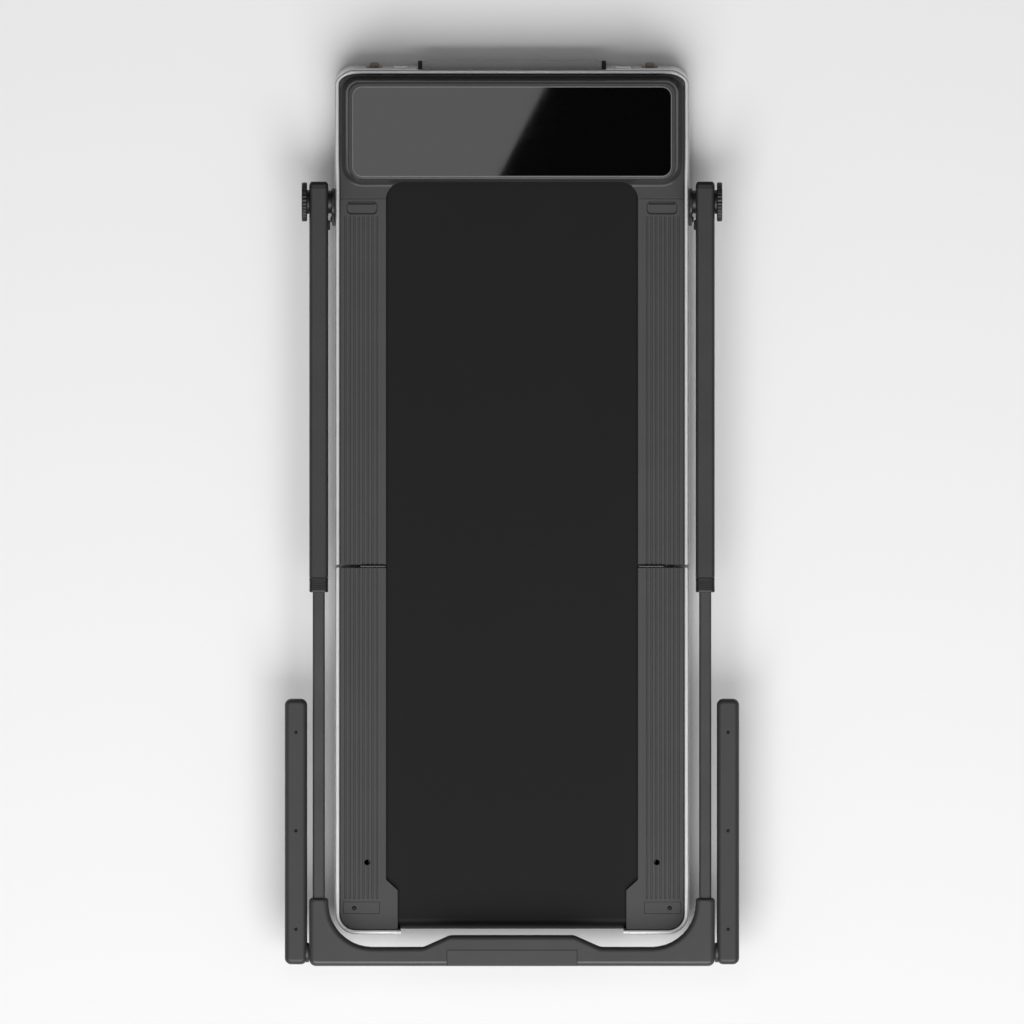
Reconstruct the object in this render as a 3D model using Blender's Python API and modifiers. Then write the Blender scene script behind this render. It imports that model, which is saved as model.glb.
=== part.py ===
"""Double-folding walking treadmill, open on the floor, with its telescopic handrail laid round the deck.

Metres, +Z up, +X to the walker's right, +Y towards the motor end. The origin is on the floor, at the
middle of the whole object's outline. Lengths along Y are written as distances from the fold line, where
the rear half of the deck hinges up and over onto the front half.
"""

import math

import bmesh
import bpy
from mathutils import Vector

# ---- driving dimensions -------------------------------------------------------------------------------
# A size that follows from another is written as an offset from it, so that the fits hold when one changes.
CLEAR = 0.0003  # gap kept between neighbours that touch
WELD = 0.000002
MERGE = 0.00001

# deck, common to both halves
DECK_HALF_WIDTH = 0.2865
TRIM_WIDTH = 0.0083
RAIL_TOP = 0.0635
UNDERSIDE = 0.008
FOLD_GAP = 0.005
FOLD_AXIS_RISE = 0.001  # fold axis above the rails
FRONT_LENGTH = 0.811  # fold line to the front wall's foot
REAR_LENGTH = 0.5958
FRONT_LEAN = 0.0083  # how far the front wall leans out between its rim and its foot
FRONT_CORNER = 0.0316
REAR_CORNER = 0.034
REAR_TRIM_END = 0.180  # where the rear trim stops beside the belt
COVER_THICK = 0.0025

# hood over the motor bay
HOOD_TOP = RAIL_TOP + 0.0625
HOOD_REAR = FRONT_LENGTH - 0.1994
HOOD_FOOT_REAR_CORNER = 0.036
HOOD_WAIST_CORNERS = (0.026, 0.020)  # rear and front
HOOD_CROWN_CORNERS = (0.022, 0.018)
HOOD_WALL = 0.003
HOOD_ROOF = 0.0055
HOOD_SHOULDER = 0.006  # height of the rounded edge round the roof
HOOD_SLOPE = 0.0145  # how far the walls lean in, in plan
BELT_MOUTH = HOOD_REAR + 0.0094  # where the belt goes in under the hood
BELT_MOUTH_CORNER = 0.028
WINDOW = (
    DECK_HALF_WIDTH - TRIM_WIDTH - 0.0205,
    HOOD_REAR + 0.0173,
    FRONT_LENGTH - FRONT_LEAN - 0.0286,
)
WINDOW_CORNER = 0.016
WINDOW_THICK = 0.003
WINDOW_LEDGE = 0.006
DISPLAY_BOARD_THICK = 0.003

# side rails that the walker can stand on
RAIL_THICK = 0.0075
RAIL_INNER = DECK_HALF_WIDTH - TRIM_WIDTH - 0.0747
FRONT_RAIL_END = HOOD_REAR - 0.0176
STEP_INNER = RAIL_INNER - 0.0188  # the rear rails step inwards past the belt's corners
STEP_START = REAR_LENGTH - 0.0888
STEP_END = REAR_LENGTH - 0.0718
STEP_FILLET = 0.004
GROOVES = 8
GROOVE_FIRST = RAIL_INNER + 0.0149
GROOVE_PITCH = 0.0073
GROOVE_WIDTH = 0.0022
GROOVE_DEPTH = 0.0008
GROOVE_FRONT_END = FRONT_RAIL_END - 0.029
GROOVE_REAR_END = REAR_LENGTH - 0.0598
SCOOP = (
    (RAIL_INNER + 0.0145, RAIL_INNER + 0.0635),
    (FRONT_RAIL_END - 0.025, FRONT_RAIL_END - 0.004),
)
SCOOP_CORNER = 0.008
SCOOP_DEPTH = 0.004
TENSION_COVER = (
    (RAIL_INNER + 0.0105, RAIL_INNER + 0.0695),
    (REAR_LENGTH - 0.0528, REAR_LENGTH - 0.0338),
)
TENSION_COVER_THICK = 0.0012
COVER_SCREW = (RAIL_INNER + 0.0515, REAR_LENGTH - 0.0428, 0.00325)
RAIL_HOLE = (RAIL_INNER + 0.0305, REAR_LENGTH - 0.1168, 0.0045)

# walking belt, board and rollers
BELT_HALF_WIDTH = RAIL_INNER + 0.0165
BELT_TOP = RAIL_TOP - 0.0081
BELT_THICK = 0.0016
ROLLER_RADIUS = 0.016
ROLLER_HALF_LENGTH = BELT_HALF_WIDTH + 0.004
AXLE_RADIUS = 0.006
FRONT_ROLLER = BELT_MOUTH + 0.019
BELT_REAR = REAR_LENGTH - 0.0088
BOARD_THICK = 0.012
BOARD_HALF_WIDTH = BELT_HALF_WIDTH + 0.012
BOARD_FRONT_END = FRONT_ROLLER - 0.028
BOARD_REAR_END = BELT_REAR - BELT_THICK - 2 * ROLLER_RADIUS - 0.0084

# welded frames
TUBE_INNER = BELT_HALF_WIDTH + 0.020
TUBE_OUTER = DECK_HALF_WIDTH - 0.0145
FRAME_FRONT_END = FRONT_LENGTH - 0.036
FRAME_REAR_END = REAR_LENGTH - 0.0208
CROSS_WIDTH = 0.030
CROSS_FRONT = (0.0175, 0.315, FRONT_ROLLER - ROLLER_RADIUS - 0.030)
CROSS_REAR = (0.0175, 0.280, BELT_REAR - 2 * ROLLER_RADIUS - 0.0315)
CROSS_HEIGHT = 2 * ROLLER_RADIUS - BOARD_THICK - 0.004

# drive
MOTOR_AT = (FRONT_ROLLER + 0.072, 0.048)
MOTOR_RADIUS = 0.031
MOTOR_SPAN = (-0.120, 0.055)
MOTOR_FOOT_INSET = 0.030
MOTOR_FOOT_HALF_WIDTH = 0.022
SHAFT_RADIUS = 0.005
FLYWHEEL_RADIUS = 0.030
FLYWHEEL_SPAN = (-0.152, -0.136)
PULLEY_SPAN = (0.004 - TUBE_INNER, -0.0015 - ROLLER_HALF_LENGTH)
MOTOR_PULLEY_RADIUS = 0.0095
ROLLER_PULLEY_RADIUS = 0.0235
DRIVE_BELT_THICK = 0.0025
DRIVE_BELT_INSET = 0.001
CONTROLLER = ((0.082, 0.222), (FRONT_ROLLER + 0.028, FRONT_ROLLER + 0.102))
CONTROLLER_TOP = 0.058
CONTROLLER_FINS = 6
FIN_HEIGHT = 0.012

# front wall fittings
FOOT_HALF_WIDTH = 0.152
FOOT_PROUD = 0.0065
FOOT_SPAN = (0.010, 0.060)
SOCKET_X = 0.180
SOCKET_Z = 0.032
SOCKET_SIZE = (0.028, 0.022)
SOCKET_MOUTH = (0.018, 0.014)
SOCKET_DEEP = 0.026
SOCKET_MOUTH_DEEP = 0.014
SWITCH_X = -0.180
SWITCH_RADIUS = 0.010
SWITCH_WIDTH = 0.022
SWITCH_RIM = 0.002
SWITCH_AT = (FRONT_LENGTH - 0.0115, 0.032)
WHEEL_X = DECK_HALF_WIDTH - 0.0635
WHEEL_WIDTH = 0.015
WHEEL_RADIUS = 0.018
WHEEL_EDGE = 0.0015
WHEEL_AT = (FRONT_LENGTH - 0.0135, 0.022)
WHEEL_AXLE_RADIUS = 0.004
WHEEL_EAR = 0.004  # thickness of the ears that hold the axle
WHEEL_MOUTH_GAP = 0.0015

# floor runners
RUNNER_X = DECK_HALF_WIDTH - 0.0365
RUNNER_HALF_WIDTH = 0.011
RUNNER_FRONT = (0.060, FRONT_LENGTH - 0.091)
RUNNER_REAR = (0.060, REAR_LENGTH - 0.0758)

# fold hinges
HINGE_SPAN = (RAIL_INNER + 0.0015, RAIL_INNER + 0.0415)
HINGE_MIDDLE = (RAIL_INNER + 0.0113, RAIL_INNER + 0.0317)
HINGE_FOOT_INNER = BELT_HALF_WIDTH + 0.0025
HINGE_FOOT = 0.030
HINGE_SHOULDER = 0.001  # above the rails' underside
KNUCKLE_RADIUS = 0.0022
PIN_RADIUS = 0.0010
LEAF = (0.0012, 0.0022)

# handrail
PIVOT = (FRONT_RAIL_END - 0.0056, RAIL_TOP + 0.0335)
BRACKET_THICK = 0.0042
BRACKET_SPAN = (PIVOT[0] - 0.0374, PIVOT[0] + 0.022)
BRACKET_BOTTOM = 0.016
BRACKET_STEP = 0.062  # height where its rear edge starts to slope up to the hub
BRACKET_BORDER = 0.0025  # plate left round the hub
BRACKET_CORNERS = (0.004, 0.020, 0.018, 0.008)
HUB_RADIUS = 0.0195
HUB_LENGTH = 0.0056
STUD_RADIUS = 0.006
OUTER_TUBE = (0.0304, 0.044)
OUTER_TUBE_WALL = 0.0022
OUTER_TUBE_CORNER = 0.006
OUTER_TUBE_FRONT = PIVOT[0] + 0.0326
UPRIGHT_X = DECK_HALF_WIDTH + BRACKET_THICK + HUB_LENGTH + 2 * CLEAR + OUTER_TUBE[0] / 2
COLLAR_START = 0.0186
COLLAR_END = 0.0421
COLLAR_SPIGOT = 0.040
INNER_TUBE_WALL = 0.0018
INNER_TUBE_CORNER = 0.004
INNER_TUBE = (OUTER_TUBE[0] - 0.0109, OUTER_TUBE[1] - 0.011)
INNER_TUBE_HOLD = 0.080  # length that stays inside the outer tube
KNOB_NECK = 0.0035
KNOB_DISC = 0.0084
KNOB_RADIUS = 0.0315
KNOB_EDGE = 0.0015
STUD_HOLD = 0.0075
HEIGHT_PIN_RADIUS = 0.004
HEIGHT_PIN_HEAD = (0.009, 0.010)
HEIGHT_PIN_EDGE = 0.001

# bar across the handrail's end
BAR_FRONT = REAR_LENGTH + 0.0192
BAR_REAR = BAR_FRONT + 0.0307
BAR_DEPTH = OUTER_TUBE[1] + 0.002
BAR_END_X = UPRIGHT_X + OUTER_TUBE[0] / 2 + 0.0002
BAR_BRACKET_INNER = UPRIGHT_X - OUTER_TUBE[0] / 2 - 0.0002
BAR_BRACKET_FRONT = BAR_FRONT - 0.0793
BAR_BRACKET_CORNER = 0.005
BAR_END_CORNER = 0.006
BAR_FILLET = 0.071
BAR_BULGE = BAR_REAR - 0.0497
BAR_BULGE_X = (0.100, 0.143)
BAR_BULGE_BLEND = 0.020
BAR_SOCKET = 0.039
REST_HALF_WIDTH = 0.105
REST_FRONT = BAR_REAR - 0.026
REST_THICK = 0.004
DIAL_RADIUS = 0.017
DIAL_EDGE = 0.0012
DIAL_HEIGHT = 0.009
DIAL_STEM = (0.003, 0.008)
DIAL_AT = BAR_REAR - 0.0252  # distance of the dial's centre behind the fold line

# armrests folded along the uprights
ARM_X = (BAR_END_X + 0.0034, BAR_END_X + 0.0394)
ARM_SPAN = (BAR_REAR - 0.4317, BAR_REAR - 0.0027)
ARM_DEPTH = 0.034
ARM_CORNER = 0.008
ARM_PIVOT = BAR_REAR - 0.0217
ARM_BOSS_RADIUS = 0.016
ARM_BOSS_ROOT = 0.002  # how far the boss runs into the arm
ARM_PIN_RADIUS = 0.005
ARM_PIN_LENGTH = 0.018

# ---- worked out from them -----------------------------------------------------------------------------
FOLD_Y = (BAR_REAR - FRONT_LENGTH - FOOT_PROUD) / 2
ORIGIN = Vector((0, FOLD_Y, 0))
SIDES = (("left", -1), ("right", 1))
HALF_GAP = FOLD_GAP / 2
FOLD_AXIS_Z = RAIL_TOP + FOLD_AXIS_RISE
TRIM_INNER = DECK_HALF_WIDTH - TRIM_WIDTH
RAIL_OUTER = TRIM_INNER - CLEAR
RAIL_BOTTOM = RAIL_TOP - RAIL_THICK
RIM_FRONT = FRONT_LENGTH - FRONT_LEAN  # front wall's outer face at its rim
BELT_OUTER_RADIUS = ROLLER_RADIUS + CLEAR + BELT_THICK
ROLLER_Z = BELT_TOP - BELT_OUTER_RADIUS
REAR_ROLLER = BELT_REAR - BELT_OUTER_RADIUS
BOARD_TOP = BELT_TOP - BELT_THICK - CLEAR
BOARD_BOTTOM = BOARD_TOP - BOARD_THICK
CROSS_TOP = BOARD_BOTTOM - CLEAR
FRAME_TOP = RAIL_BOTTOM - CLEAR
COVER_TOP = UNDERSIDE + COVER_THICK
FRAME_BOTTOM = COVER_TOP + CLEAR
BRACKET_X = DECK_HALF_WIDTH + CLEAR
TUBE_X = (UPRIGHT_X - OUTER_TUBE[0] / 2, UPRIGHT_X + OUTER_TUBE[0] / 2)
SPIGOT = (OUTER_TUBE[0] - 2 * OUTER_TUBE_WALL - 2 * CLEAR, OUTER_TUBE[1] - 2 * OUTER_TUBE_WALL - 2 * CLEAR)
SLIDE_BORE = (INNER_TUBE[0] + 2 * CLEAR, INNER_TUBE[1] + 2 * CLEAR)
BAR_TOP = PIVOT[1] + BAR_DEPTH / 2
BAR_BOTTOM = PIVOT[1] - BAR_DEPTH / 2

ALONG = {
    "X": ((math.pi / 2, 0, math.pi / 2), Vector((1, 0, 0))),
    "Y": ((math.pi / 2, 0, 0), Vector((0, 1, 0))),
    "Z": ((0, 0, 0), Vector((0, 0, 1))),
}
TURNED_ALONG = {
    "+X": (0, math.pi / 2, 0),
    "-X": (0, -math.pi / 2, 0),
    "-Z": (math.pi, 0, 0),
}

# colour, roughness and metallic value of each finish
FINISHES = {
    "trim": ((0.36, 0.36, 0.37), 0.35, 0.9),
    "rail": ((0.065, 0.065, 0.067), 0.55, 0.0),
    "hood": ((0.06, 0.06, 0.062), 0.5, 0.0),
    "belt": ((0.013, 0.013, 0.014), 0.8, 0.0),
    "rubber": ((0.01, 0.01, 0.01), 0.85, 0.0),
    "glass": ((0.004, 0.004, 0.005), 0.05, 0.0),
    "tube": ((0.045, 0.045, 0.047), 0.45, 0.3),
    "knob": ((0.012, 0.012, 0.013), 0.5, 0.0),
    "steel": ((0.35, 0.35, 0.36), 0.35, 1.0),
    "frame": ((0.02, 0.02, 0.02), 0.5, 0.2),
    "board": ((0.10, 0.06, 0.035), 0.7, 0.0),
    "circuit": ((0.01, 0.08, 0.03), 0.5, 0.0),
    "motor": ((0.05, 0.05, 0.055), 0.4, 0.6),
    "alloy": ((0.5, 0.5, 0.51), 0.4, 0.9),
    "wheel": ((0.21, 0.12, 0.07), 0.5, 0.0),
}


# ---- modelling tools ----------------------------------------------------------------------------------
def clear_scene():
    for thing in list(bpy.data.objects):
        bpy.data.objects.remove(thing, do_unlink=True)


def new_group(name):
    group = bpy.data.collections.new(name)
    bpy.context.scene.collection.children.link(group)
    return group


def place(name, mesh, spot, turn=(0, 0, 0)):
    """A mesh as an object, its origin at a spot measured from the fold line."""
    piece = bpy.data.objects.new(name, mesh)
    piece.location = ORIGIN + Vector(spot)
    piece.rotation_euler = turn
    PARTS.objects.link(piece)
    return piece


def block(name, x, y, z):
    """A rectangular block between pairs of x, y and z."""
    bm = bmesh.new()
    bmesh.ops.create_cube(bm, size=1.0)
    spans = [sorted(pair) for pair in (x, y, z)]
    bmesh.ops.scale(bm, vec=[high - low for low, high in spans], verts=bm.verts)
    mesh = bpy.data.meshes.new(name)
    bm.to_mesh(mesh)
    bm.free()
    return place(name, mesh, [(low + high) / 2 for low, high in spans])


def rod(name, radius, span, centre, along="X", sides=24):
    """A round bar; the centre gives its two other coordinates in X, Y, Z order."""
    low, high = sorted(span)
    bm = bmesh.new()
    both = {"radius1": radius, "radius2": radius}
    bmesh.ops.create_cone(bm, cap_ends=True, segments=sides, depth=high - low, **both)
    mesh = bpy.data.meshes.new(name)
    bm.to_mesh(mesh)
    bm.free()
    middle = (low + high) / 2
    if along == "X":
        return place(name, mesh, (middle, *centre), (0, math.pi / 2, 0))
    return place(name, mesh, (*centre, middle))


def ring(corners, steps=6):
    """The points of a closed outline whose corners, each (a, b, radius), are rounded."""
    points = []
    for i, (a, b, radius) in enumerate(corners):
        here = Vector((a, b))
        if not radius:
            points.append(here)
            continue
        back = (Vector(corners[i - 1][:2]) - here).normalized()
        ahead = (Vector(corners[(i + 1) % len(corners)][:2]) - here).normalized()
        half = back.angle(ahead) / 2
        centre = here + (back + ahead).normalized() * radius / math.sin(half)
        start = here + back * radius / math.tan(half) - centre
        end = here + ahead * radius / math.tan(half) - centre
        first = math.atan2(start.y, start.x)
        turn = math.remainder(math.atan2(end.y, end.x) - first, 2 * math.pi)
        for k in range(steps + 1):
            angle = first + turn * k / steps
            points.append(centre + radius * Vector((math.cos(angle), math.sin(angle))))
    return points


def rectangle(a, b, radius=0.0, steps=6):
    """A rounded rectangle between pairs of its two coordinates."""
    (a0, a1), (b0, b1) = sorted(a), sorted(b)
    return ring([(a0, b0, radius), (a1, b0, radius), (a1, b1, radius), (a0, b1, radius)], steps)


def arc(centre, radius, start, end, steps):
    """Points on a circle between two angles in degrees."""
    angles = [math.radians(start + (end - start) * k / steps) for k in range(steps + 1)]
    return [Vector((centre[0] + radius * math.cos(t), centre[1] + radius * math.sin(t))) for t in angles]


def prism(name, rings, span, along="Z"):
    """A piece of even thickness from a flat outline; any further rings are holes through it.

    The outline lies in X and Y for a piece along Z, in Y and Z along X, and in X and Z along Y.
    """
    low, high = sorted(span)
    curve = bpy.data.curves.new(name, "CURVE")
    curve.dimensions = "2D"
    curve.fill_mode = "BOTH"
    curve.extrude = (high - low) / 2
    for points in rings:
        spline = curve.splines.new("POLY")
        spline.points.add(len(points) - 1)
        for knot, point in zip(spline.points, points):
            knot.co = (point[0], point[1], 0, 1)
        spline.use_cyclic_u = True
    turn, way = ALONG[along]
    flat = bpy.data.objects.new(name, curve)
    flat.rotation_euler = turn
    flat.location = ORIGIN + way * (low + high) / 2
    PARTS.objects.link(flat)
    return as_mesh(flat)


def as_mesh(flat):
    """Turns a curve object into a welded mesh object in the same place."""
    bpy.context.view_layer.update()
    graph = bpy.context.evaluated_depsgraph_get()
    mesh = bpy.data.meshes.new_from_object(flat.evaluated_get(graph))
    bm = bmesh.new()
    bm.from_mesh(mesh)
    bmesh.ops.remove_doubles(bm, verts=bm.verts, dist=WELD)
    bm.to_mesh(mesh)
    bm.free()
    name, matrix = flat.name, flat.matrix_world.copy()
    bpy.data.objects.remove(flat, do_unlink=True)
    piece = bpy.data.objects.new(name, mesh)
    piece.matrix_world = matrix
    PARTS.objects.link(piece)
    return piece


def loft(name, sections):
    """A closed body through rings of equally many points, each (points, height), from the bottom up."""
    bm = bmesh.new()
    loops = [[bm.verts.new((p[0], p[1], height)) for p in points] for points, height in sections]
    for lower, upper in zip(loops, loops[1:]):
        for i in range(len(lower)):
            bm.faces.new((lower[i - 1], lower[i], upper[i], upper[i - 1]))
    bm.faces.new(list(reversed(loops[0])))
    bm.faces.new(loops[-1])
    bmesh.ops.recalc_face_normals(bm, faces=bm.faces)
    mesh = bpy.data.meshes.new(name)
    bm.to_mesh(mesh)
    bm.free()
    return place(name, mesh, (0, 0, 0))


def turned(name, profile, spot, along, sides=24, closed=True):
    """A piece turned about an axis through a spot: profile points are (distance along the axis, radius).

    The profile runs along its outer side from the far end to the near end.
    """
    mesh = bpy.data.meshes.new(name)
    edges = [(i, i + 1) for i in range(len(profile) - 1)]
    if closed:
        edges.append((len(profile) - 1, 0))
    mesh.from_pydata([(radius, 0, distance) for distance, radius in profile], edges, [])
    piece = place(name, mesh, spot, TURNED_ALONG[along])
    screw = piece.modifiers.new("turn", "SCREW")
    screw.steps = sides
    screw.render_steps = sides
    screw.use_merge_vertices = True
    screw.merge_threshold = MERGE
    return piece


def boolean(piece, tool, operation):
    modifier = piece.modifiers.new(tool.name, "BOOLEAN")
    modifier.operation = operation
    modifier.solver = "EXACT"
    modifier.object = tool
    if tool.name in PARTS.objects:
        PARTS.objects.unlink(tool)
        CUTTERS.objects.link(tool)
    tool.hide_render = True
    tool.display_type = "WIRE"


def cut(piece, *tools):
    for tool in tools:
        boolean(piece, tool, "DIFFERENCE")
    return piece


def join(piece, *tools):
    for tool in tools:
        boolean(piece, tool, "UNION")
    return piece


def coat(piece, finish):
    """Gives a piece a material of its own in the named finish."""
    colour, roughness, metallic = FINISHES[finish]
    material = bpy.data.materials.new(piece.name)
    material.use_nodes = True
    shader = material.node_tree.nodes["Principled BSDF"]
    shader.inputs["Base Color"].default_value = (*colour, 1)
    shader.inputs["Roughness"].default_value = roughness
    shader.inputs["Metallic"].default_value = metallic
    piece.data.materials.clear()
    piece.data.materials.append(material)
    return piece


def axis_empty(name, spot, parent=None):
    """An empty on a joint's axis, for the pieces that move about it."""
    empty = bpy.data.objects.new(name, None)
    empty.location = ORIGIN + Vector(spot)
    empty.empty_display_size = 0.03
    PARTS.objects.link(empty)
    if parent:
        hang(empty, parent)
    return empty


def hang(piece, parent):
    """Parents a piece to an empty without moving it."""
    bpy.context.view_layer.update()
    piece.parent = parent
    piece.matrix_parent_inverse = parent.matrix_world.inverted()


def side_by_side(sign, a, b):
    """A span of distances from the middle, on one side."""
    return (sign * a, sign * b)


def mirrored(points, sign):
    return [(sign * p[0], p[1]) for p in points]


# ---- deck: the pieces that both halves have -------------------------------------------------------------
def side_rail(half, side, sign):
    """Grooved plastic rail beside the belt; the rear one widens into the end cap."""
    if half == "front":
        corners = [
            (RAIL_INNER, HALF_GAP, 0),
            (RAIL_OUTER, HALF_GAP, 0),
            (RAIL_OUTER, FRONT_RAIL_END, 0),
            (RAIL_INNER, FRONT_RAIL_END, 0),
        ]
        groove_span = (0, GROOVE_FRONT_END)
    else:
        end = -(REAR_LENGTH - TRIM_WIDTH - CLEAR)
        corners = [
            (RAIL_INNER, -HALF_GAP, 0),
            (RAIL_OUTER, -HALF_GAP, 0),
            (RAIL_OUTER, end, REAR_CORNER - TRIM_WIDTH - CLEAR),
            (STEP_INNER, end, 0),
            (STEP_INNER, -STEP_END, STEP_FILLET),
            (RAIL_INNER, -STEP_START, STEP_FILLET),
        ]
        groove_span = (-GROOVE_REAR_END, 0)
    rail = prism(f"side_rail_{half}_{side}", [mirrored(ring(corners), sign)], (RAIL_BOTTOM, RAIL_TOP))
    depth = (RAIL_TOP - GROOVE_DEPTH, RAIL_TOP + GROOVE_DEPTH)
    for i in range(GROOVES):
        middle = GROOVE_FIRST + i * GROOVE_PITCH
        span = side_by_side(sign, middle - GROOVE_WIDTH / 2, middle + GROOVE_WIDTH / 2)
        cut(rail, block(f"groove_{half}_{side}_{i}", span, groove_span, depth))
    if half == "front":
        (x0, x1), (y0, y1) = SCOOP
        outline = ring([(x0, y0, 0), (x1, y0, 0), (x1, y1, SCOOP_CORNER), (x0, y1, SCOOP_CORNER)])
        deep = (RAIL_TOP - SCOOP_DEPTH, RAIL_TOP + SCOOP_DEPTH)
        cut(rail, prism(f"scoop_{side}", [mirrored(outline, sign)], deep))
    else:
        (x0, x1), (y0, y1) = TENSION_COVER
        deep = (RAIL_TOP - TENSION_COVER_THICK - 2 * CLEAR, RAIL_TOP + TENSION_COVER_THICK)
        cut(rail, block(f"cover_pocket_{side}", side_by_side(sign, x0, x1), (-y0, -y1), deep))
        through = (RAIL_BOTTOM - CLEAR, RAIL_TOP + CLEAR)
        for label, (x, y, radius) in (("screw", COVER_SCREW), ("lock", RAIL_HOLE)):
            cut(rail, rod(f"{label}_hole_{side}", radius, through, (sign * x, -y), "Z", 16))
    return coat(rail, "rail")


def deck_board(half):
    """Running board that the belt slides over."""
    x = (-BOARD_HALF_WIDTH, BOARD_HALF_WIDTH)
    start = HALF_GAP + CLEAR
    y = (start, BOARD_FRONT_END) if half == "front" else (-start, -BOARD_REAR_END)
    return coat(block(f"deck_board_{half}", x, y, (BOARD_BOTTOM, BOARD_TOP)), "board")


def walking_belt(half):
    """Half of the belt's loop, from the fold line round its roller and back."""
    sign, roller = (1, FRONT_ROLLER) if half == "front" else (-1, REAR_ROLLER)
    start = HALF_GAP + CLEAR
    inner_radius = BELT_OUTER_RADIUS - BELT_THICK
    outer = arc((roller, ROLLER_Z), BELT_OUTER_RADIUS, 90, -90, 16)
    inner = arc((roller, ROLLER_Z), inner_radius, -90, 90, 16)
    outline = [(start, BELT_TOP), *outer, (start, ROLLER_Z - BELT_OUTER_RADIUS)]
    outline += [(start, ROLLER_Z - inner_radius), *inner, (start, BELT_TOP - BELT_THICK)]
    belt = prism(f"belt_{half}", [mirrored(outline, sign)], (-BELT_HALF_WIDTH, BELT_HALF_WIDTH), "X")
    return coat(belt, "belt")


def deck_frame(half):
    """Welded steel frame: two side tubes and three cross members; the front one carries the wheels."""
    if half == "front":
        sign, end, crosses = 1, FRAME_FRONT_END, CROSS_FRONT
    else:
        sign, end, crosses = -1, FRAME_REAR_END, CROSS_REAR
    start = HALF_GAP + CLEAR
    y = sorted((sign * start, sign * end))
    frame = block(f"frame_{half}", (-TUBE_INNER, -TUBE_OUTER), y, (FRAME_BOTTOM, FRAME_TOP))
    join(frame, block(f"frame_{half}_tube", (TUBE_INNER, TUBE_OUTER), y, (FRAME_BOTTOM, FRAME_TOP)))
    overlap = TUBE_INNER + 0.5 * (TUBE_OUTER - TUBE_INNER)
    for i, middle in enumerate(crosses):
        span = sorted((sign * (middle - CROSS_WIDTH / 2), sign * (middle + CROSS_WIDTH / 2)))
        heights = (CROSS_TOP - CROSS_HEIGHT, CROSS_TOP)
        join(frame, block(f"cross_{half}_{i}", (-overlap, overlap), span, heights))
    if half == "front":
        nose = (FRAME_FRONT_END - CROSS_WIDTH, FRAME_FRONT_END - CLEAR)
        heights = (FRAME_BOTTOM + CLEAR, CROSS_TOP)
        join(frame, block("nose_cross", (-overlap, overlap), nose, heights))
        for side, side_sign in SIDES:
            join(frame, *wheel_ears(side, side_sign))
    return coat(frame, "frame")


def wheel_ears(side, sign):
    """Two ears in front of the frame and the axle between them."""
    gap = WHEEL_WIDTH / 2 + 2 * CLEAR
    y = (FRAME_FRONT_END - CROSS_WIDTH / 2, WHEEL_AT[0] + 1.75 * WHEEL_AXLE_RADIUS)
    z = (WHEEL_AT[1] - 2 * WHEEL_AXLE_RADIUS, WHEEL_AT[1] + 2 * WHEEL_AXLE_RADIUS)
    pieces = []
    for label, way in (("inner", -1), ("outer", 1)):
        near = WHEEL_X + way * gap
        span = side_by_side(sign, near, near + way * WHEEL_EAR)
        pieces.append(block(f"wheel_ear_{label}_{side}", span, y, z))
    reach = gap + 0.5 * WHEEL_EAR
    span = side_by_side(sign, WHEEL_X - reach, WHEEL_X + reach)
    pieces.append(rod(f"wheel_axle_{side}", WHEEL_AXLE_RADIUS, span, WHEEL_AT, "X", 16))
    return pieces


def bottom_cover(half):
    start = HALF_GAP + CLEAR
    inner = TRIM_INNER - CLEAR
    if half == "front":
        y = (start, FRAME_FRONT_END - CLEAR)
    else:
        y = (-start, -(FRAME_REAR_END - REAR_CORNER / 2))
    return coat(block(f"bottom_cover_{half}", (-inner, inner), y, (UNDERSIDE, COVER_TOP)), "frame")


def floor_runner(half, side, sign):
    """Rubber runner under the deck's edge."""
    y = RUNNER_FRONT if half == "front" else (-RUNNER_REAR[0], -RUNNER_REAR[1])
    x = side_by_side(sign, RUNNER_X - RUNNER_HALF_WIDTH, RUNNER_X + RUNNER_HALF_WIDTH)
    outline = rectangle(x, y, RUNNER_HALF_WIDTH / 2, 3)
    return coat(prism(f"floor_runner_{half}_{side}", [outline], (0, UNDERSIDE - CLEAR)), "rubber")


def roller_axle(name, y):
    reach = TUBE_INNER - CLEAR
    return coat(rod(name, AXLE_RADIUS, (-reach, reach), (y, ROLLER_Z), "X", 20), "steel")


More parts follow.
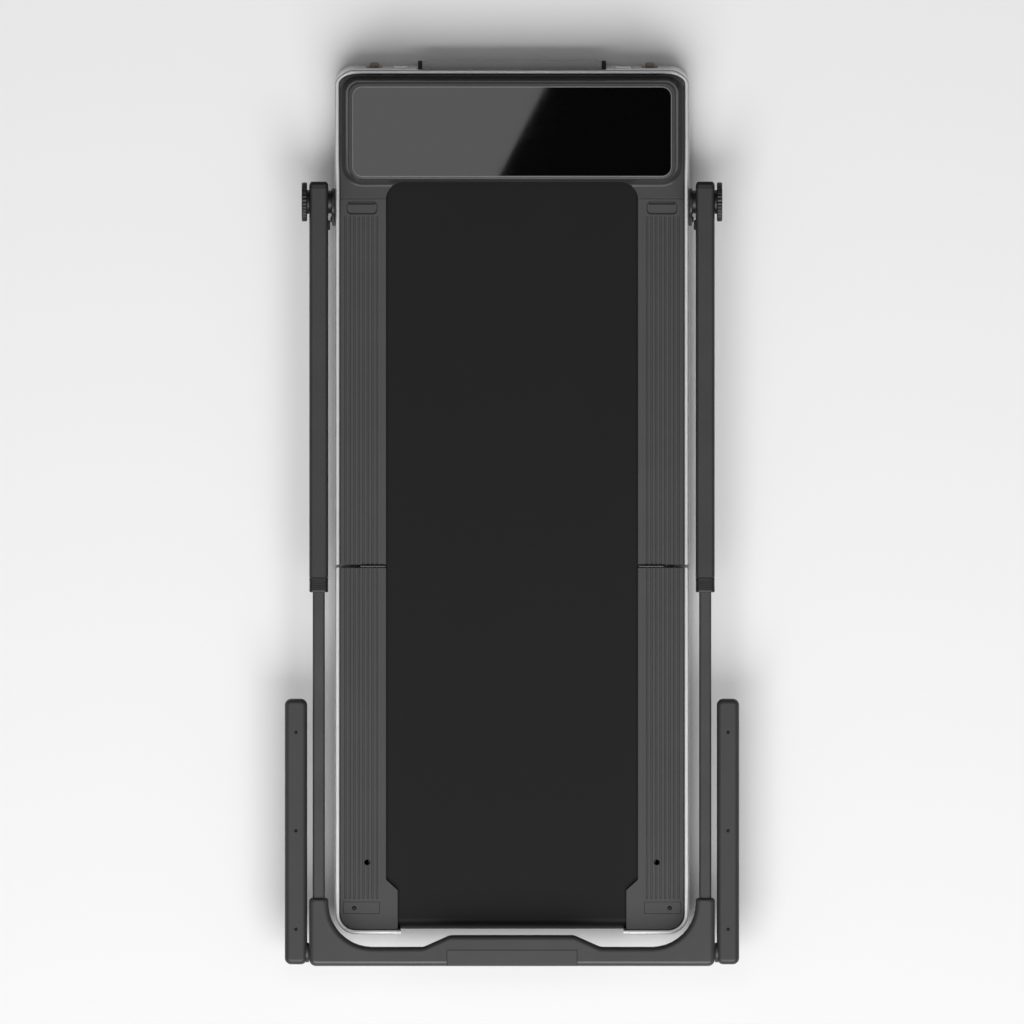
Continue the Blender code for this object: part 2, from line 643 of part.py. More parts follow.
def hinge_leaf(half, side, sign):
    """One leaf of a fold hinge, with its knuckles, in the gap between the two halves."""
    (x0, x3), (x1, x2) = HINGE_SPAN, HINGE_MIDDLE
    low_top = FOLD_AXIS_Z - KNUCKLE_RADIUS - 2 * CLEAR
    shoulder = RAIL_BOTTOM + HINGE_SHOULDER
    if half == "front":
        gap = CLEAR
        crest = [(x0, FOLD_AXIS_Z), (x1 - gap, FOLD_AXIS_Z), (x1 - gap, low_top)]
        crest += [(x2 + gap, low_top), (x2 + gap, FOLD_AXIS_Z), (x3, FOLD_AXIS_Z)]
        knuckles = ((x0, x1 - gap), (x2 + gap, x3))
    else:
        crest = [(x0, low_top), (x1, low_top), (x1, FOLD_AXIS_Z)]
        crest += [(x2, FOLD_AXIS_Z), (x2, low_top), (x3, low_top)]
        knuckles = ((x1, x2),)
    foot = [(x3, HINGE_FOOT), (HINGE_FOOT_INNER, HINGE_FOOT), (HINGE_FOOT_INNER, shoulder), (x0, shoulder)]
    faces = LEAF if half == "front" else (-LEAF[0], -LEAF[1])
    leaf = prism(f"hinge_leaf_{half}_{side}", [mirrored(crest + foot, sign)], faces, "Y")
    reach = side_by_side(sign, x0 - 0.005, x3 + 0.005)
    bore = rod(f"hinge_bore_{half}_{side}", PIN_RADIUS + CLEAR, reach, (0, FOLD_AXIS_Z), "X", 12)
    for i, span in enumerate(knuckles):
        tool = f"knuckle_{half}_{side}_{i}"
        join(leaf, rod(tool, KNUCKLE_RADIUS, side_by_side(sign, *span), (0, FOLD_AXIS_Z), "X", 16))
    return coat(cut(leaf, bore), "steel")


def hinge_pin(side, sign):
    span = side_by_side(sign, HINGE_SPAN[0] - CLEAR, HINGE_SPAN[1] + CLEAR)
    return coat(rod(f"hinge_pin_{side}", PIN_RADIUS, span, (0, FOLD_AXIS_Z), "X", 12), "steel")


# ---- deck: edges ----------------------------------------------------------------------------------------
def front_trim():
    """Aluminium edge round the front half, its front wall leaning out towards the floor."""
    outer = [
        (-DECK_HALF_WIDTH, HALF_GAP, 0.004),
        (-DECK_HALF_WIDTH, FRONT_LENGTH, FRONT_CORNER),
        (DECK_HALF_WIDTH, FRONT_LENGTH, FRONT_CORNER),
        (DECK_HALF_WIDTH, HALF_GAP, 0.004),
    ]
    inner = [
        (TRIM_INNER, HALF_GAP, 0),
        (TRIM_INNER, FRONT_LENGTH - TRIM_WIDTH, FRONT_CORNER - TRIM_WIDTH),
        (-TRIM_INNER, FRONT_LENGTH - TRIM_WIDTH, FRONT_CORNER - TRIM_WIDTH),
        (-TRIM_INNER, HALF_GAP, 0),
    ]
    trim = prism("trim_front", [ring(outer + inner, 8)], (UNDERSIDE, RAIL_TOP))
    half_height = (RAIL_TOP - UNDERSIDE) / 2
    for vertex in trim.data.vertices:
        beyond = (vertex.co.y - (FRONT_LENGTH - FRONT_CORNER)) / (FRONT_CORNER - TRIM_WIDTH)
        rise = (vertex.co.z + half_height) / (2 * half_height)
        vertex.co.y -= FRONT_LEAN * rise * min(max(beyond, 0), 1)
    wall = (RIM_FRONT - 2 * TRIM_WIDTH, FRONT_LENGTH + TRIM_WIDTH)
    for side, sign in SIDES:
        reach = WHEEL_WIDTH / 2 + WHEEL_EAR + WHEEL_MOUTH_GAP
        span = side_by_side(sign, WHEEL_X - reach, WHEEL_X + reach)
        notch = (UNDERSIDE - CLEAR, WHEEL_AT[1] + WHEEL_RADIUS + 0.002)
        cut(trim, block(f"wheel_notch_{side}", span, wall, notch))
    socket = [half / 2 + CLEAR for half in SOCKET_SIZE]
    hole = block(
        "socket_hole",
        (SOCKET_X - socket[0], SOCKET_X + socket[0]),
        wall,
        (SOCKET_Z - socket[1], SOCKET_Z + socket[1]),
    )
    reach = SWITCH_WIDTH / 2 + CLEAR
    rocker = SWITCH_RADIUS + CLEAR
    slot = block(
        "switch_slot",
        (SWITCH_X - reach, SWITCH_X + reach),
        wall,
        (SWITCH_AT[1] - rocker, SWITCH_AT[1] + rocker),
    )
    cut(trim, hole, slot)
    return coat(trim, "trim")


def rear_trim(side, sign):
    """Aluminium edge round one rear corner, open behind the belt."""
    inner_end = REAR_LENGTH - TRIM_WIDTH
    corners = [
        (TRIM_INNER, -HALF_GAP, 0),
        (DECK_HALF_WIDTH, -HALF_GAP, 0.004),
        (DECK_HALF_WIDTH, -REAR_LENGTH, REAR_CORNER),
        (REAR_TRIM_END, -REAR_LENGTH, 0.003),
        (REAR_TRIM_END, -inner_end, 0),
        (TRIM_INNER, -inner_end, REAR_CORNER - TRIM_WIDTH),
    ]
    outline = mirrored(ring(corners, 8), sign)
    return coat(prism(f"trim_rear_{side}", [outline], (UNDERSIDE, RAIL_TOP)), "trim")


def tension_cover(side, sign):
    """Small cover over the belt-tension bolt, held by one screw."""
    (x0, x1), (y0, y1) = TENSION_COVER
    x = side_by_side(sign, x0 + CLEAR, x1 - CLEAR)
    bottom = RAIL_TOP - TENSION_COVER_THICK - CLEAR
    z = (bottom, bottom + TENSION_COVER_THICK)
    cover = block(f"tension_cover_{side}", x, (-y0 - CLEAR, -y1 + CLEAR), z)
    x, y, radius = COVER_SCREW
    hole = rod(f"cover_screw_{side}", radius, (z[0] - CLEAR, z[1] + CLEAR), (sign * x, -y), "Z", 16)
    return coat(cut(cover, hole), "rail")


# ---- hood and what is under it ----------------------------------------------------------------------------
def hood_section(inset, rear_corner, front_corner):
    """The hood's outline, pulled in by an inset from its foot."""
    side = RAIL_OUTER - inset
    rear = HOOD_REAR + inset
    front = RIM_FRONT - TRIM_WIDTH - CLEAR - inset
    corners = [
        (-side, rear, rear_corner),
        (side, rear, rear_corner),
        (side, front, front_corner),
        (-side, front, front_corner),
    ]
    return ring(corners, 6)


def mouth_outline(grow):
    """The notch in the hood that the belt goes in through, grown by the hood's wall."""
    side, end = RAIL_INNER + grow, BELT_MOUTH + grow
    back = FRONT_RAIL_END - 0.02
    radius = BELT_MOUTH_CORNER + grow
    return ring([(-side, back, 0), (side, back, 0), (side, end, radius), (-side, end, radius)])


def hood():
    """Moulded hood: a flange at the rails' level, sloping walls and a roof that holds the window."""
    front = RIM_FRONT - TRIM_WIDTH - CLEAR
    flange_outline = ring(
        [
            (-RAIL_OUTER, FRONT_RAIL_END + CLEAR, 0),
            (RAIL_OUTER, FRONT_RAIL_END + CLEAR, 0),
            (RAIL_OUTER, front, FRONT_CORNER - TRIM_WIDTH),
            (-RAIL_OUTER, front, FRONT_CORNER - TRIM_WIDTH),
        ]
    )
    flange_bottom = RAIL_TOP - HOOD_WALL
    shell = prism("hood", [flange_outline], (flange_bottom, RAIL_TOP))
    foot_corner = FRONT_CORNER - TRIM_WIDTH
    foot = hood_section(0.0005, HOOD_FOOT_REAR_CORNER, foot_corner)
    waist = hood_section(HOOD_SLOPE - 0.5 * HOOD_SHOULDER, *HOOD_WAIST_CORNERS)
    crown = hood_section(HOOD_SLOPE, *HOOD_CROWN_CORNERS)
    dome = [(foot, flange_bottom + CLEAR), (foot, RAIL_TOP + CLEAR)]
    dome += [(waist, HOOD_TOP - HOOD_SHOULDER), (crown, HOOD_TOP)]
    join(shell, loft("hood_dome", dome))
    cut(shell, prism("belt_mouth", [mouth_outline(0)], (0.05, HOOD_TOP + HOOD_WALL)))
    low = hood_section(HOOD_WALL, HOOD_FOOT_REAR_CORNER - HOOD_WALL, foot_corner - HOOD_WALL)
    high = hood_section(HOOD_SLOPE + 0.5 * HOOD_WALL + 2 * CLEAR, *HOOD_CROWN_CORNERS)
    hollow = loft("hood_hollow", [(low, 0.05), (low, RAIL_TOP), (high, HOOD_TOP - HOOD_ROOF)])
    guard = prism("mouth_guard", [mouth_outline(HOOD_WALL)], (0.045, HOOD_TOP + HOOD_WALL))
    cut(hollow, guard)
    cut(shell, hollow)
    half, rear, front = WINDOW
    grow = CLEAR
    pocket = rectangle((-half - grow, half + grow), (rear - grow, front + grow), WINDOW_CORNER + grow)
    cut(shell, prism("window_pocket", [pocket], (HOOD_TOP - WINDOW_THICK - CLEAR, HOOD_TOP + HOOD_WALL)))
    ledge = WINDOW_LEDGE
    hole = rectangle((-half + ledge, half - ledge), (rear + ledge, front - ledge), WINDOW_CORNER - ledge)
    cut(shell, prism("window_hole", [hole], (HOOD_TOP - 2 * HOOD_ROOF, HOOD_TOP)))
    return coat(shell, "hood")


def display_window():
    half, rear, front = WINDOW
    outline = rectangle((-half, half), (rear, front), WINDOW_CORNER, 8)
    return coat(prism("display_window", [outline], (HOOD_TOP - WINDOW_THICK, HOOD_TOP)), "glass")


def display_board():
    half, rear, front = WINDOW
    top = HOOD_TOP - WINDOW_THICK - CLEAR
    y = (rear + 4 * WINDOW_LEDGE, front - 4 * WINDOW_LEDGE)
    return coat(block("display_board", (-half / 2, half / 2), y, (top - DISPLAY_BOARD_THICK, top)), "circuit")


def motor():
    """Drive motor on its foot."""
    y, z = MOTOR_AT
    can = rod("motor", MOTOR_RADIUS, MOTOR_SPAN, MOTOR_AT, "X", 28)
    foot_x = (MOTOR_SPAN[0] + MOTOR_FOOT_INSET, MOTOR_SPAN[1] - MOTOR_FOOT_INSET)
    foot_y = (y - MOTOR_FOOT_HALF_WIDTH, y + MOTOR_FOOT_HALF_WIDTH)
    foot = block("motor_foot", foot_x, foot_y, (FRAME_BOTTOM, z - 0.5 * MOTOR_RADIUS))
    join(can, foot)
    return coat(can, "motor")


def motor_rotor():
    """Shaft end, flywheel and ribbed-belt pulley, turned as one."""
    start = MOTOR_SPAN[0] - CLEAR
    (fly_far, fly_near), (pulley_far, pulley_near) = FLYWHEEL_SPAN, PULLEY_SPAN
    profile = [
        (start, 0),
        (start, SHAFT_RADIUS),
        (fly_near, SHAFT_RADIUS),
        (fly_near, FLYWHEEL_RADIUS),
        (fly_far, FLYWHEEL_RADIUS),
        (fly_far, SHAFT_RADIUS),
        (pulley_near, SHAFT_RADIUS),
        (pulley_near, MOTOR_PULLEY_RADIUS),
        (pulley_far, MOTOR_PULLEY_RADIUS),
        (pulley_far, 0),
    ]
    return coat(turned("motor_rotor", profile, (0, *MOTOR_AT), "+X", 24, closed=False), "steel")


def belt_loop(grow):
    """Outline of the drive belt's path round both pulleys, grown outwards."""
    near = Vector((FRONT_ROLLER, ROLLER_Z))
    far = Vector(MOTOR_AT)
    big, small = ROLLER_PULLEY_RADIUS + grow, MOTOR_PULLEY_RADIUS + grow
    way = math.degrees(math.atan2(far.y - near.y, far.x - near.x))
    lean = math.degrees(math.acos((big - small) / (far - near).length))
    return arc(near, big, way + lean, way + 360 - lean, 18) + arc(far, small, way - lean, way + lean, 10)


def drive_belt():
    rings = [belt_loop(CLEAR + DRIVE_BELT_THICK), belt_loop(CLEAR)]
    span = (PULLEY_SPAN[0] + DRIVE_BELT_INSET, PULLEY_SPAN[1] - DRIVE_BELT_INSET)
    return coat(prism("drive_belt", rings, span, "X"), "rubber")


def controller():
    """Motor controller with its cooling fins."""
    x, y = CONTROLLER
    top = CONTROLLER_TOP
    box = block("controller", x, y, (FRAME_BOTTOM, top))
    pitch = (x[1] - x[0]) / (CONTROLLER_FINS + 1)
    for i in range(CONTROLLER_FINS):
        middle = x[0] + (i + 1) * pitch
        slot = (middle - pitch / 4, middle + pitch / 4)
        cut(box, block(f"fin_gap_{i}", slot, (y[0] - CLEAR, y[1] + CLEAR), (top - FIN_HEIGHT, top + CLEAR)))
    return coat(box, "alloy")


def front_roller():
    """Drive roller with the big pulley on its left end."""
    bore = AXLE_RADIUS + CLEAR
    far, near = PULLEY_SPAN
    profile = [
        (ROLLER_HALF_LENGTH, bore),
        (ROLLER_HALF_LENGTH, ROLLER_RADIUS),
        (-ROLLER_HALF_LENGTH, ROLLER_RADIUS),
        (-ROLLER_HALF_LENGTH, 0.75 * ROLLER_RADIUS),
        (near, 0.75 * ROLLER_RADIUS),
        (near, ROLLER_PULLEY_RADIUS),
        (far, ROLLER_PULLEY_RADIUS),
        (far, bore),
    ]
    return coat(turned("front_roller", profile, (0, FRONT_ROLLER, ROLLER_Z), "+X", 32), "steel")


def rear_roller():
    bore = AXLE_RADIUS + CLEAR
    reach = ROLLER_HALF_LENGTH
    profile = [(reach, bore), (reach, ROLLER_RADIUS), (-reach, ROLLER_RADIUS), (-reach, bore)]
    return coat(turned("rear_roller", profile, (0, -REAR_ROLLER, ROLLER_Z), "+X", 32), "steel")


# ---- front wall fittings ----------------------------------------------------------------------------------
def wall_y(z):
    """The front wall's outer face at a height."""
    return FRONT_LENGTH - FRONT_LEAN * (z - UNDERSIDE) / (RAIL_TOP - UNDERSIDE)


def standing_foot():
    """Block on the front wall that the folded treadmill stands up on."""
    low, high = FOOT_SPAN
    face = FRONT_LENGTH + FOOT_PROUD
    outline = [(face, low), (face, high), (wall_y(high) + 2 * CLEAR, high), (wall_y(low) + 2 * CLEAR, low)]
    return coat(prism("standing_foot", [outline], (-FOOT_HALF_WIDTH, FOOT_HALF_WIDTH), "X"), "rail")


def power_inlet():
    """Mains inlet in the front wall, with an open socket."""
    half_x, half_z = SOCKET_SIZE[0] / 2, SOCKET_SIZE[1] / 2
    face = wall_y(SOCKET_Z + half_z)
    x = (SOCKET_X - half_x, SOCKET_X + half_x)
    z = (SOCKET_Z - half_z, SOCKET_Z + half_z)
    body = block("power_inlet", x, (face - SOCKET_DEEP, face), z)
    mouth_x, mouth_z = SOCKET_MOUTH[0] / 2, SOCKET_MOUTH[1] / 2
    mouth = block(
        "socket_mouth",
        (SOCKET_X - mouth_x, SOCKET_X + mouth_x),
        (face - SOCKET_MOUTH_DEEP, face + CLEAR),
        (SOCKET_Z - mouth_z, SOCKET_Z + mouth_z),
    )
    return coat(cut(body, mouth), "knob")


def power_switch():
    """Rocker of the mains switch, round about its pivot with a dished face."""
    y, z = SWITCH_AT
    span = (SWITCH_X - SWITCH_WIDTH / 2, SWITCH_X + SWITCH_WIDTH / 2)
    rocker = rod("power_switch", SWITCH_RADIUS, span, SWITCH_AT, "X", 24)
    hollow = (span[0] + SWITCH_RIM, span[1] - SWITCH_RIM)
    dish = rod("switch_dish", SWITCH_RADIUS, hollow, (y + 1.6 * SWITCH_RADIUS, z), "X", 20)
    return coat(cut(rocker, dish), "knob")


def transport_wheel(side, sign):
    bore = WHEEL_AXLE_RADIUS + CLEAR
    half = WHEEL_WIDTH / 2
    edge = WHEEL_EDGE
    profile = [
        (half, bore),
        (half, WHEEL_RADIUS - edge),
        (half - edge, WHEEL_RADIUS),
        (edge - half, WHEEL_RADIUS),
        (-half, WHEEL_RADIUS - edge),
        (-half, bore),
    ]
    return coat(turned(f"transport_wheel_{side}", profile, (sign * WHEEL_X, *WHEEL_AT), "+X", 24), "wheel")


# ---- handrail -----------------------------------------------------------------------------------------------
def pivot_bracket(side, sign):
    """Steel plate on the deck's side, with the hub and the stud that the upright turns on."""
    rear, front = BRACKET_SPAN
    top = PIVOT[1] + HUB_RADIUS + BRACKET_BORDER
    foot_corner, front_corner, rear_corner, step_corner = BRACKET_CORNERS
    outline = ring(
        [
            (rear, BRACKET_BOTTOM, foot_corner),
            (front, BRACKET_BOTTOM, foot_corner),
            (front, top, front_corner),
            (PIVOT[0] - HUB_RADIUS - BRACKET_BORDER, top, rear_corner),
            (rear, BRACKET_STEP, step_corner),
        ]
    )
    plate_x = (BRACKET_X, BRACKET_X + BRACKET_THICK)
    plate = prism(f"pivot_bracket_{side}", [outline], side_by_side(sign, *plate_x), "X")
    hub = (BRACKET_X + 0.5 * BRACKET_THICK, TUBE_X[0] - CLEAR)
    stud = (BRACKET_X + 0.5 * BRACKET_THICK, TUBE_X[1] + STUD_HOLD - CLEAR)
    join(plate, rod(f"hub_{side}", HUB_RADIUS, side_by_side(sign, *hub), PIVOT, "X", 28))
    join(plate, rod(f"stud_{side}", STUD_RADIUS, side_by_side(sign, *stud), PIVOT, "X", 20))
    return coat(plate, "knob")


def tube_section(size, corner):
    """A rounded rectangle about the upright's centre line."""
    x = (UPRIGHT_X - size[0] / 2, UPRIGHT_X + size[0] / 2)
    z = (PIVOT[1] - size[1] / 2, PIVOT[1] + size[1] / 2)
    return rectangle(x, z, corner, 3)


def outer_tube(side, sign):
    """Lower tube of an upright, closed at its pivot end and open at its collar."""
    outside = mirrored(tube_section(OUTER_TUBE, OUTER_TUBE_CORNER), sign)
    tube = prism(f"outer_tube_{side}", [outside], (-COLLAR_START + CLEAR, OUTER_TUBE_FRONT), "Y")
    wall = OUTER_TUBE_WALL
    inside = tube_section((OUTER_TUBE[0] - 2 * wall, OUTER_TUBE[1] - 2 * wall), OUTER_TUBE_CORNER - wall)
    end = PIVOT[0] - HUB_RADIUS
    bore = prism(f"outer_tube_bore_{side}", [mirrored(inside, sign)], (-COLLAR_END, end), "Y")
    eye = side_by_side(sign, TUBE_X[0] - wall, TUBE_X[1] + wall)
    cut(tube, bore, rod(f"pivot_eye_{side}", STUD_RADIUS + CLEAR, eye, PIVOT, "X", 20))
    return coat(tube, "tube")


def tube_collar(side, sign):
    """Plastic collar with the spigot that guides the inner tube."""
    outside = mirrored(tube_section(OUTER_TUBE, OUTER_TUBE_CORNER), sign)
    collar = prism(f"tube_collar_{side}", [outside], (-COLLAR_END, -COLLAR_START), "Y")
    inside = mirrored(tube_section(SPIGOT, OUTER_TUBE_CORNER - OUTER_TUBE_WALL - CLEAR), sign)
    spigot = prism(f"spigot_{side}", [inside], (-COLLAR_START - 0.004, COLLAR_SPIGOT - COLLAR_START), "Y")
    bore = mirrored(tube_section(SLIDE_BORE, INNER_TUBE_CORNER), sign)
    slide = prism(f"slide_bore_{side}", [bore], (-COLLAR_END - CLEAR, COLLAR_SPIGOT), "Y")
    middle = -(COLLAR_START + COLLAR_END) / 2
    hole = (PIVOT[1] - OUTER_TUBE[1], PIVOT[1])
    pin_hole = rod(f"pin_hole_{side}", HEIGHT_PIN_RADIUS + CLEAR, hole, (sign * UPRIGHT_X, middle), "Z", 16)
    join(collar, spigot)
    cut(collar, slide, pin_hole)
    return coat(collar, "knob")


def height_pin(side, sign):
    """Pull pin under the collar that holds the inner tube's height."""
    head_radius, head_height = HEIGHT_PIN_HEAD
    collar_face = OUTER_TUBE[1] / 2 + CLEAR
    tip = INNER_TUBE[1] / 2 + 2 * CLEAR
    end = collar_face + head_height
    profile = [
        (end, 0),
        (end, head_radius - HEIGHT_PIN_EDGE),
        (end - HEIGHT_PIN_EDGE, head_radius),
        (collar_face, head_radius),
        (collar_face, HEIGHT_PIN_RADIUS),
        (tip, HEIGHT_PIN_RADIUS),
        (tip, 0),
    ]
    middle = -(COLLAR_START + COLLAR_END) / 2
    spot = (sign * UPRIGHT_X, middle, PIVOT[1])
    return coat(turned(f"height_pin_{side}", profile, spot, "-Z", 16, closed=False), "knob")


def lock_knob(side, sign):
    """Knob that clamps the upright's pivot."""
    base = TUBE_X[1] + CLEAR
    neck = base + KNOB_NECK
    face = neck + KNOB_DISC
    bore = STUD_RADIUS + CLEAR
    profile = [
        (face, 0),
        (face, KNOB_RADIUS - KNOB_EDGE),
        (face - KNOB_EDGE, KNOB_RADIUS),
        (neck, KNOB_RADIUS),
        (neck, HUB_RADIUS),
        (base, HUB_RADIUS),
        (base, bore),
        (TUBE_X[1] + STUD_HOLD, bore),
        (TUBE_X[1] + STUD_HOLD, 0),
    ]
    along = "+X" if sign > 0 else "-X"
    return coat(turned(f"lock_knob_{side}", profile, (0, *PIVOT), along, 32, closed=False), "knob")


def inner_tube(side, sign):
    """Upper tube that slides in the collar and ends in the bar's bracket."""
    outside = mirrored(tube_section(INNER_TUBE, INNER_TUBE_CORNER), sign)
    wall = INNER_TUBE_WALL
    inside = tube_section((INNER_TUBE[0] - 2 * wall, INNER_TUBE[1] - 2 * wall), INNER_TUBE_CORNER - wall)
    span = (-(BAR_BRACKET_FRONT + BAR_SOCKET - CLEAR), INNER_TUBE_HOLD - COLLAR_END)
    tube = prism(f"inner_tube_{side}", [outside, mirrored(inside, sign)], span, "Y")
    return coat(tube, "tube")


def handlebar():
    """Moulded bar with a bracket at each end for an inner tube."""
    inner, outer = BAR_BULGE_X
    right = [
        (outer, -BAR_FRONT, BAR_BULGE_BLEND),
        (BAR_BRACKET_INNER, -BAR_FRONT, BAR_FILLET),
        (BAR_BRACKET_INNER, -BAR_BRACKET_FRONT, BAR_BRACKET_CORNER),
        (BAR_END_X, -BAR_BRACKET_FRONT, BAR_BRACKET_CORNER),
        (BAR_END_X, -BAR_REAR, BAR_END_CORNER),
    ]
    left = [(-x, y, radius) for x, y, radius in reversed(right)]
    corners = [(-inner, -BAR_BULGE, BAR_BULGE_BLEND), (inner, -BAR_BULGE, BAR_BULGE_BLEND)]
    corners += right + left
    bar = prism("handlebar", [ring(corners)], (BAR_BOTTOM, BAR_TOP))
    pocket_x = (-REST_HALF_WIDTH - CLEAR, REST_HALF_WIDTH + CLEAR)
    pocket_y = (-BAR_REAR - CLEAR, -REST_FRONT + CLEAR)
    pocket = block("rest_pocket", pocket_x, pocket_y, (BAR_TOP - REST_THICK - CLEAR, BAR_TOP + REST_THICK))
    stem_radius, stem_length = DIAL_STEM
    stem = (BAR_BOTTOM - CLEAR, BAR_BOTTOM + stem_length + CLEAR)
    cut(bar, pocket, rod("dial_hole", stem_radius + CLEAR, stem, (0, -DIAL_AT), "Z", 16))
    for side, sign in SIDES:
        outline = mirrored(tube_section(SLIDE_BORE, INNER_TUBE_CORNER), sign)
        depth = (-(BAR_BRACKET_FRONT + BAR_SOCKET), -BAR_BRACKET_FRONT + CLEAR)
        cut(bar, prism(f"tube_socket_{side}", [outline], depth, "Y"))
        pin = side_by_side(sign, BAR_END_X - ARM_PIN_LENGTH - CLEAR, BAR_END_X + CLEAR)
        cut(bar, rod(f"arm_hole_{side}", ARM_PIN_RADIUS + CLEAR, pin, (-ARM_PIVOT, PIVOT[1]), "X", 20))
    return coat(bar, "hood")


def device_rest():
    """Flap in the bar's outer face that swings out to hold a phone or tablet."""
    radius = REST_THICK / 2
    spine = -BAR_REAR + radius + CLEAR
    middle = BAR_TOP - radius
    back = arc((spine, middle), radius, 90, 270, 6)
    outline = [(-REST_FRONT, middle + radius), *back, (-REST_FRONT, middle - radius)]
    return coat(prism("device_rest", [outline], (-REST_HALF_WIDTH, REST_HALF_WIDTH), "X"), "rail")


def speed_dial():
    """Speed dial on the bar's face that the walker sees."""
    stem_radius, stem_length = DIAL_STEM
    edge = DIAL_EDGE
    profile = [
        (DIAL_HEIGHT, 0),
        (DIAL_HEIGHT, DIAL_RADIUS - edge),
        (DIAL_HEIGHT - edge, DIAL_RADIUS),
        (0, DIAL_RADIUS),
        (0, stem_radius),
        (-stem_length, stem_radius),
        (-stem_length, 0),
    ]
    spot = (0, -DIAL_AT, BAR_BOTTOM - CLEAR)
    return coat(turned("speed_dial", profile, spot, "-Z", 28, closed=False), "knob")


def armrest(side, sign):
    """Padded arm on a pivot at the end of the bar."""
    x0, x1 = ARM_X
    start, end = ARM_SPAN
    outline = rectangle(side_by_side(sign, x0, x1), (-start, -end), ARM_CORNER, 5)
    z = (PIVOT[1] - ARM_DEPTH / 2, PIVOT[1] + ARM_DEPTH / 2)
    arm = prism(f"armrest_{side}", [outline], z)
    centre = (-ARM_PIVOT, PIVOT[1])
    boss = side_by_side(sign, BAR_END_X + CLEAR, x0 + ARM_BOSS_ROOT)
    pin = side_by_side(sign, BAR_END_X - ARM_PIN_LENGTH, x0 + ARM_BOSS_ROOT)
    join(arm, rod(f"arm_boss_{side}", ARM_BOSS_RADIUS, boss, centre, "X", 24))
    join(arm, rod(f"arm_pin_{side}", ARM_PIN_RADIUS, pin, centre, "X", 20))
    return coat(arm, "rail")


# ---- assembly -------------------------------------------------------------------------------------------------
def build_front_half():
    front_trim()
    deck_frame("front")
    deck_board("front")
    walking_belt("front")
    bottom_cover("front")
    roller_axle("front_axle", FRONT_ROLLER)
    hood()
    display_window()
    display_board()
    motor()
    controller()
    drive_belt()
    standing_foot()
    power_inlet()
    for side, sign in SIDES:
        side_rail("front", side, sign)
        hinge_leaf("front", side, sign)
        hinge_pin(side, sign)
        floor_runner("front", side, sign)
        pivot_bracket(side, sign)
        hang(transport_wheel(side, sign), axis_empty(f"wheel_axis_{side}", (sign * WHEEL_X, *WHEEL_AT)))
    hang(front_roller(), axis_empty("front_roller_axis", (0, FRONT_ROLLER, ROLLER_Z)))
    hang(motor_rotor(), axis_empty("motor_axis", (0, *MOTOR_AT)))
    hang(power_switch(), axis_empty("switch_axis", (SWITCH_X, *SWITCH_AT)))


def build_rear_half():
    fold = axis_empty("fold_axis", (0, 0, FOLD_AXIS_Z))
    pieces = [deck_frame("rear"), deck_board("rear"), walking_belt("rear"), bottom_cover("rear")]
    pieces.append(roller_axle("rear_axle", -REAR_ROLLER))
    for side, sign in SIDES:
        pieces += [side_rail("rear", side, sign), rear_trim(side, sign), tension_cover(side, sign)]
        pieces += [hinge_leaf("rear", side, sign), floor_runner("rear", side, sign)]
    for piece in pieces:
        hang(piece, fold)
    hang(rear_roller(), axis_empty("rear_roller_axis", (0, -REAR_ROLLER, ROLLER_Z), fold))


def build_handrail():
    swing = axis_empty("handrail_axis", (0, *PIVOT))
    telescope = axis_empty("telescope", (0, -COLLAR_END, PIVOT[1]), swing)
    hang(handlebar(), telescope)
    spine = (0, -BAR_REAR + REST_THICK / 2 + CLEAR, BAR_TOP - REST_THICK / 2)
    hang(device_rest(), axis_empty("rest_axis", spine, telescope))
    hang(speed_dial(), axis_empty("dial_axis", (0, -DIAL_AT, BAR_BOTTOM), telescope))
    for side, sign in SIDES:
        hang(outer_tube(side, sign), swing)
        hang(tube_collar(side, sign), swing)
        hang(lock_knob(side, sign), axis_empty(f"knob_axis_{side}", (sign * TUBE_X[1], *PIVOT), swing))
        hang(height_pin(side, sign), swing)
        hang(inner_tube(side, sign), telescope)
        pivot = axis_empty(f"arm_axis_{side}", (sign * BAR_END_X, -ARM_PIVOT, PIVOT[1]), telescope)
        hang(armrest(side, sign), pivot)


clear_scene()
PARTS = new_group("walking_treadmill")
CUTTERS = new_group("cutters")
build_front_half()
build_rear_half()
build_handrail()
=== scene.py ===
"""Folding walking treadmill, laid open with its handrail round the deck: the finished look.

Metres, +Z up, +X to the walker's right, +Y towards the motor end. The deck folds at FOLD.
"""
import math

import bmesh
import bpy
from mathutils import Matrix, Vector


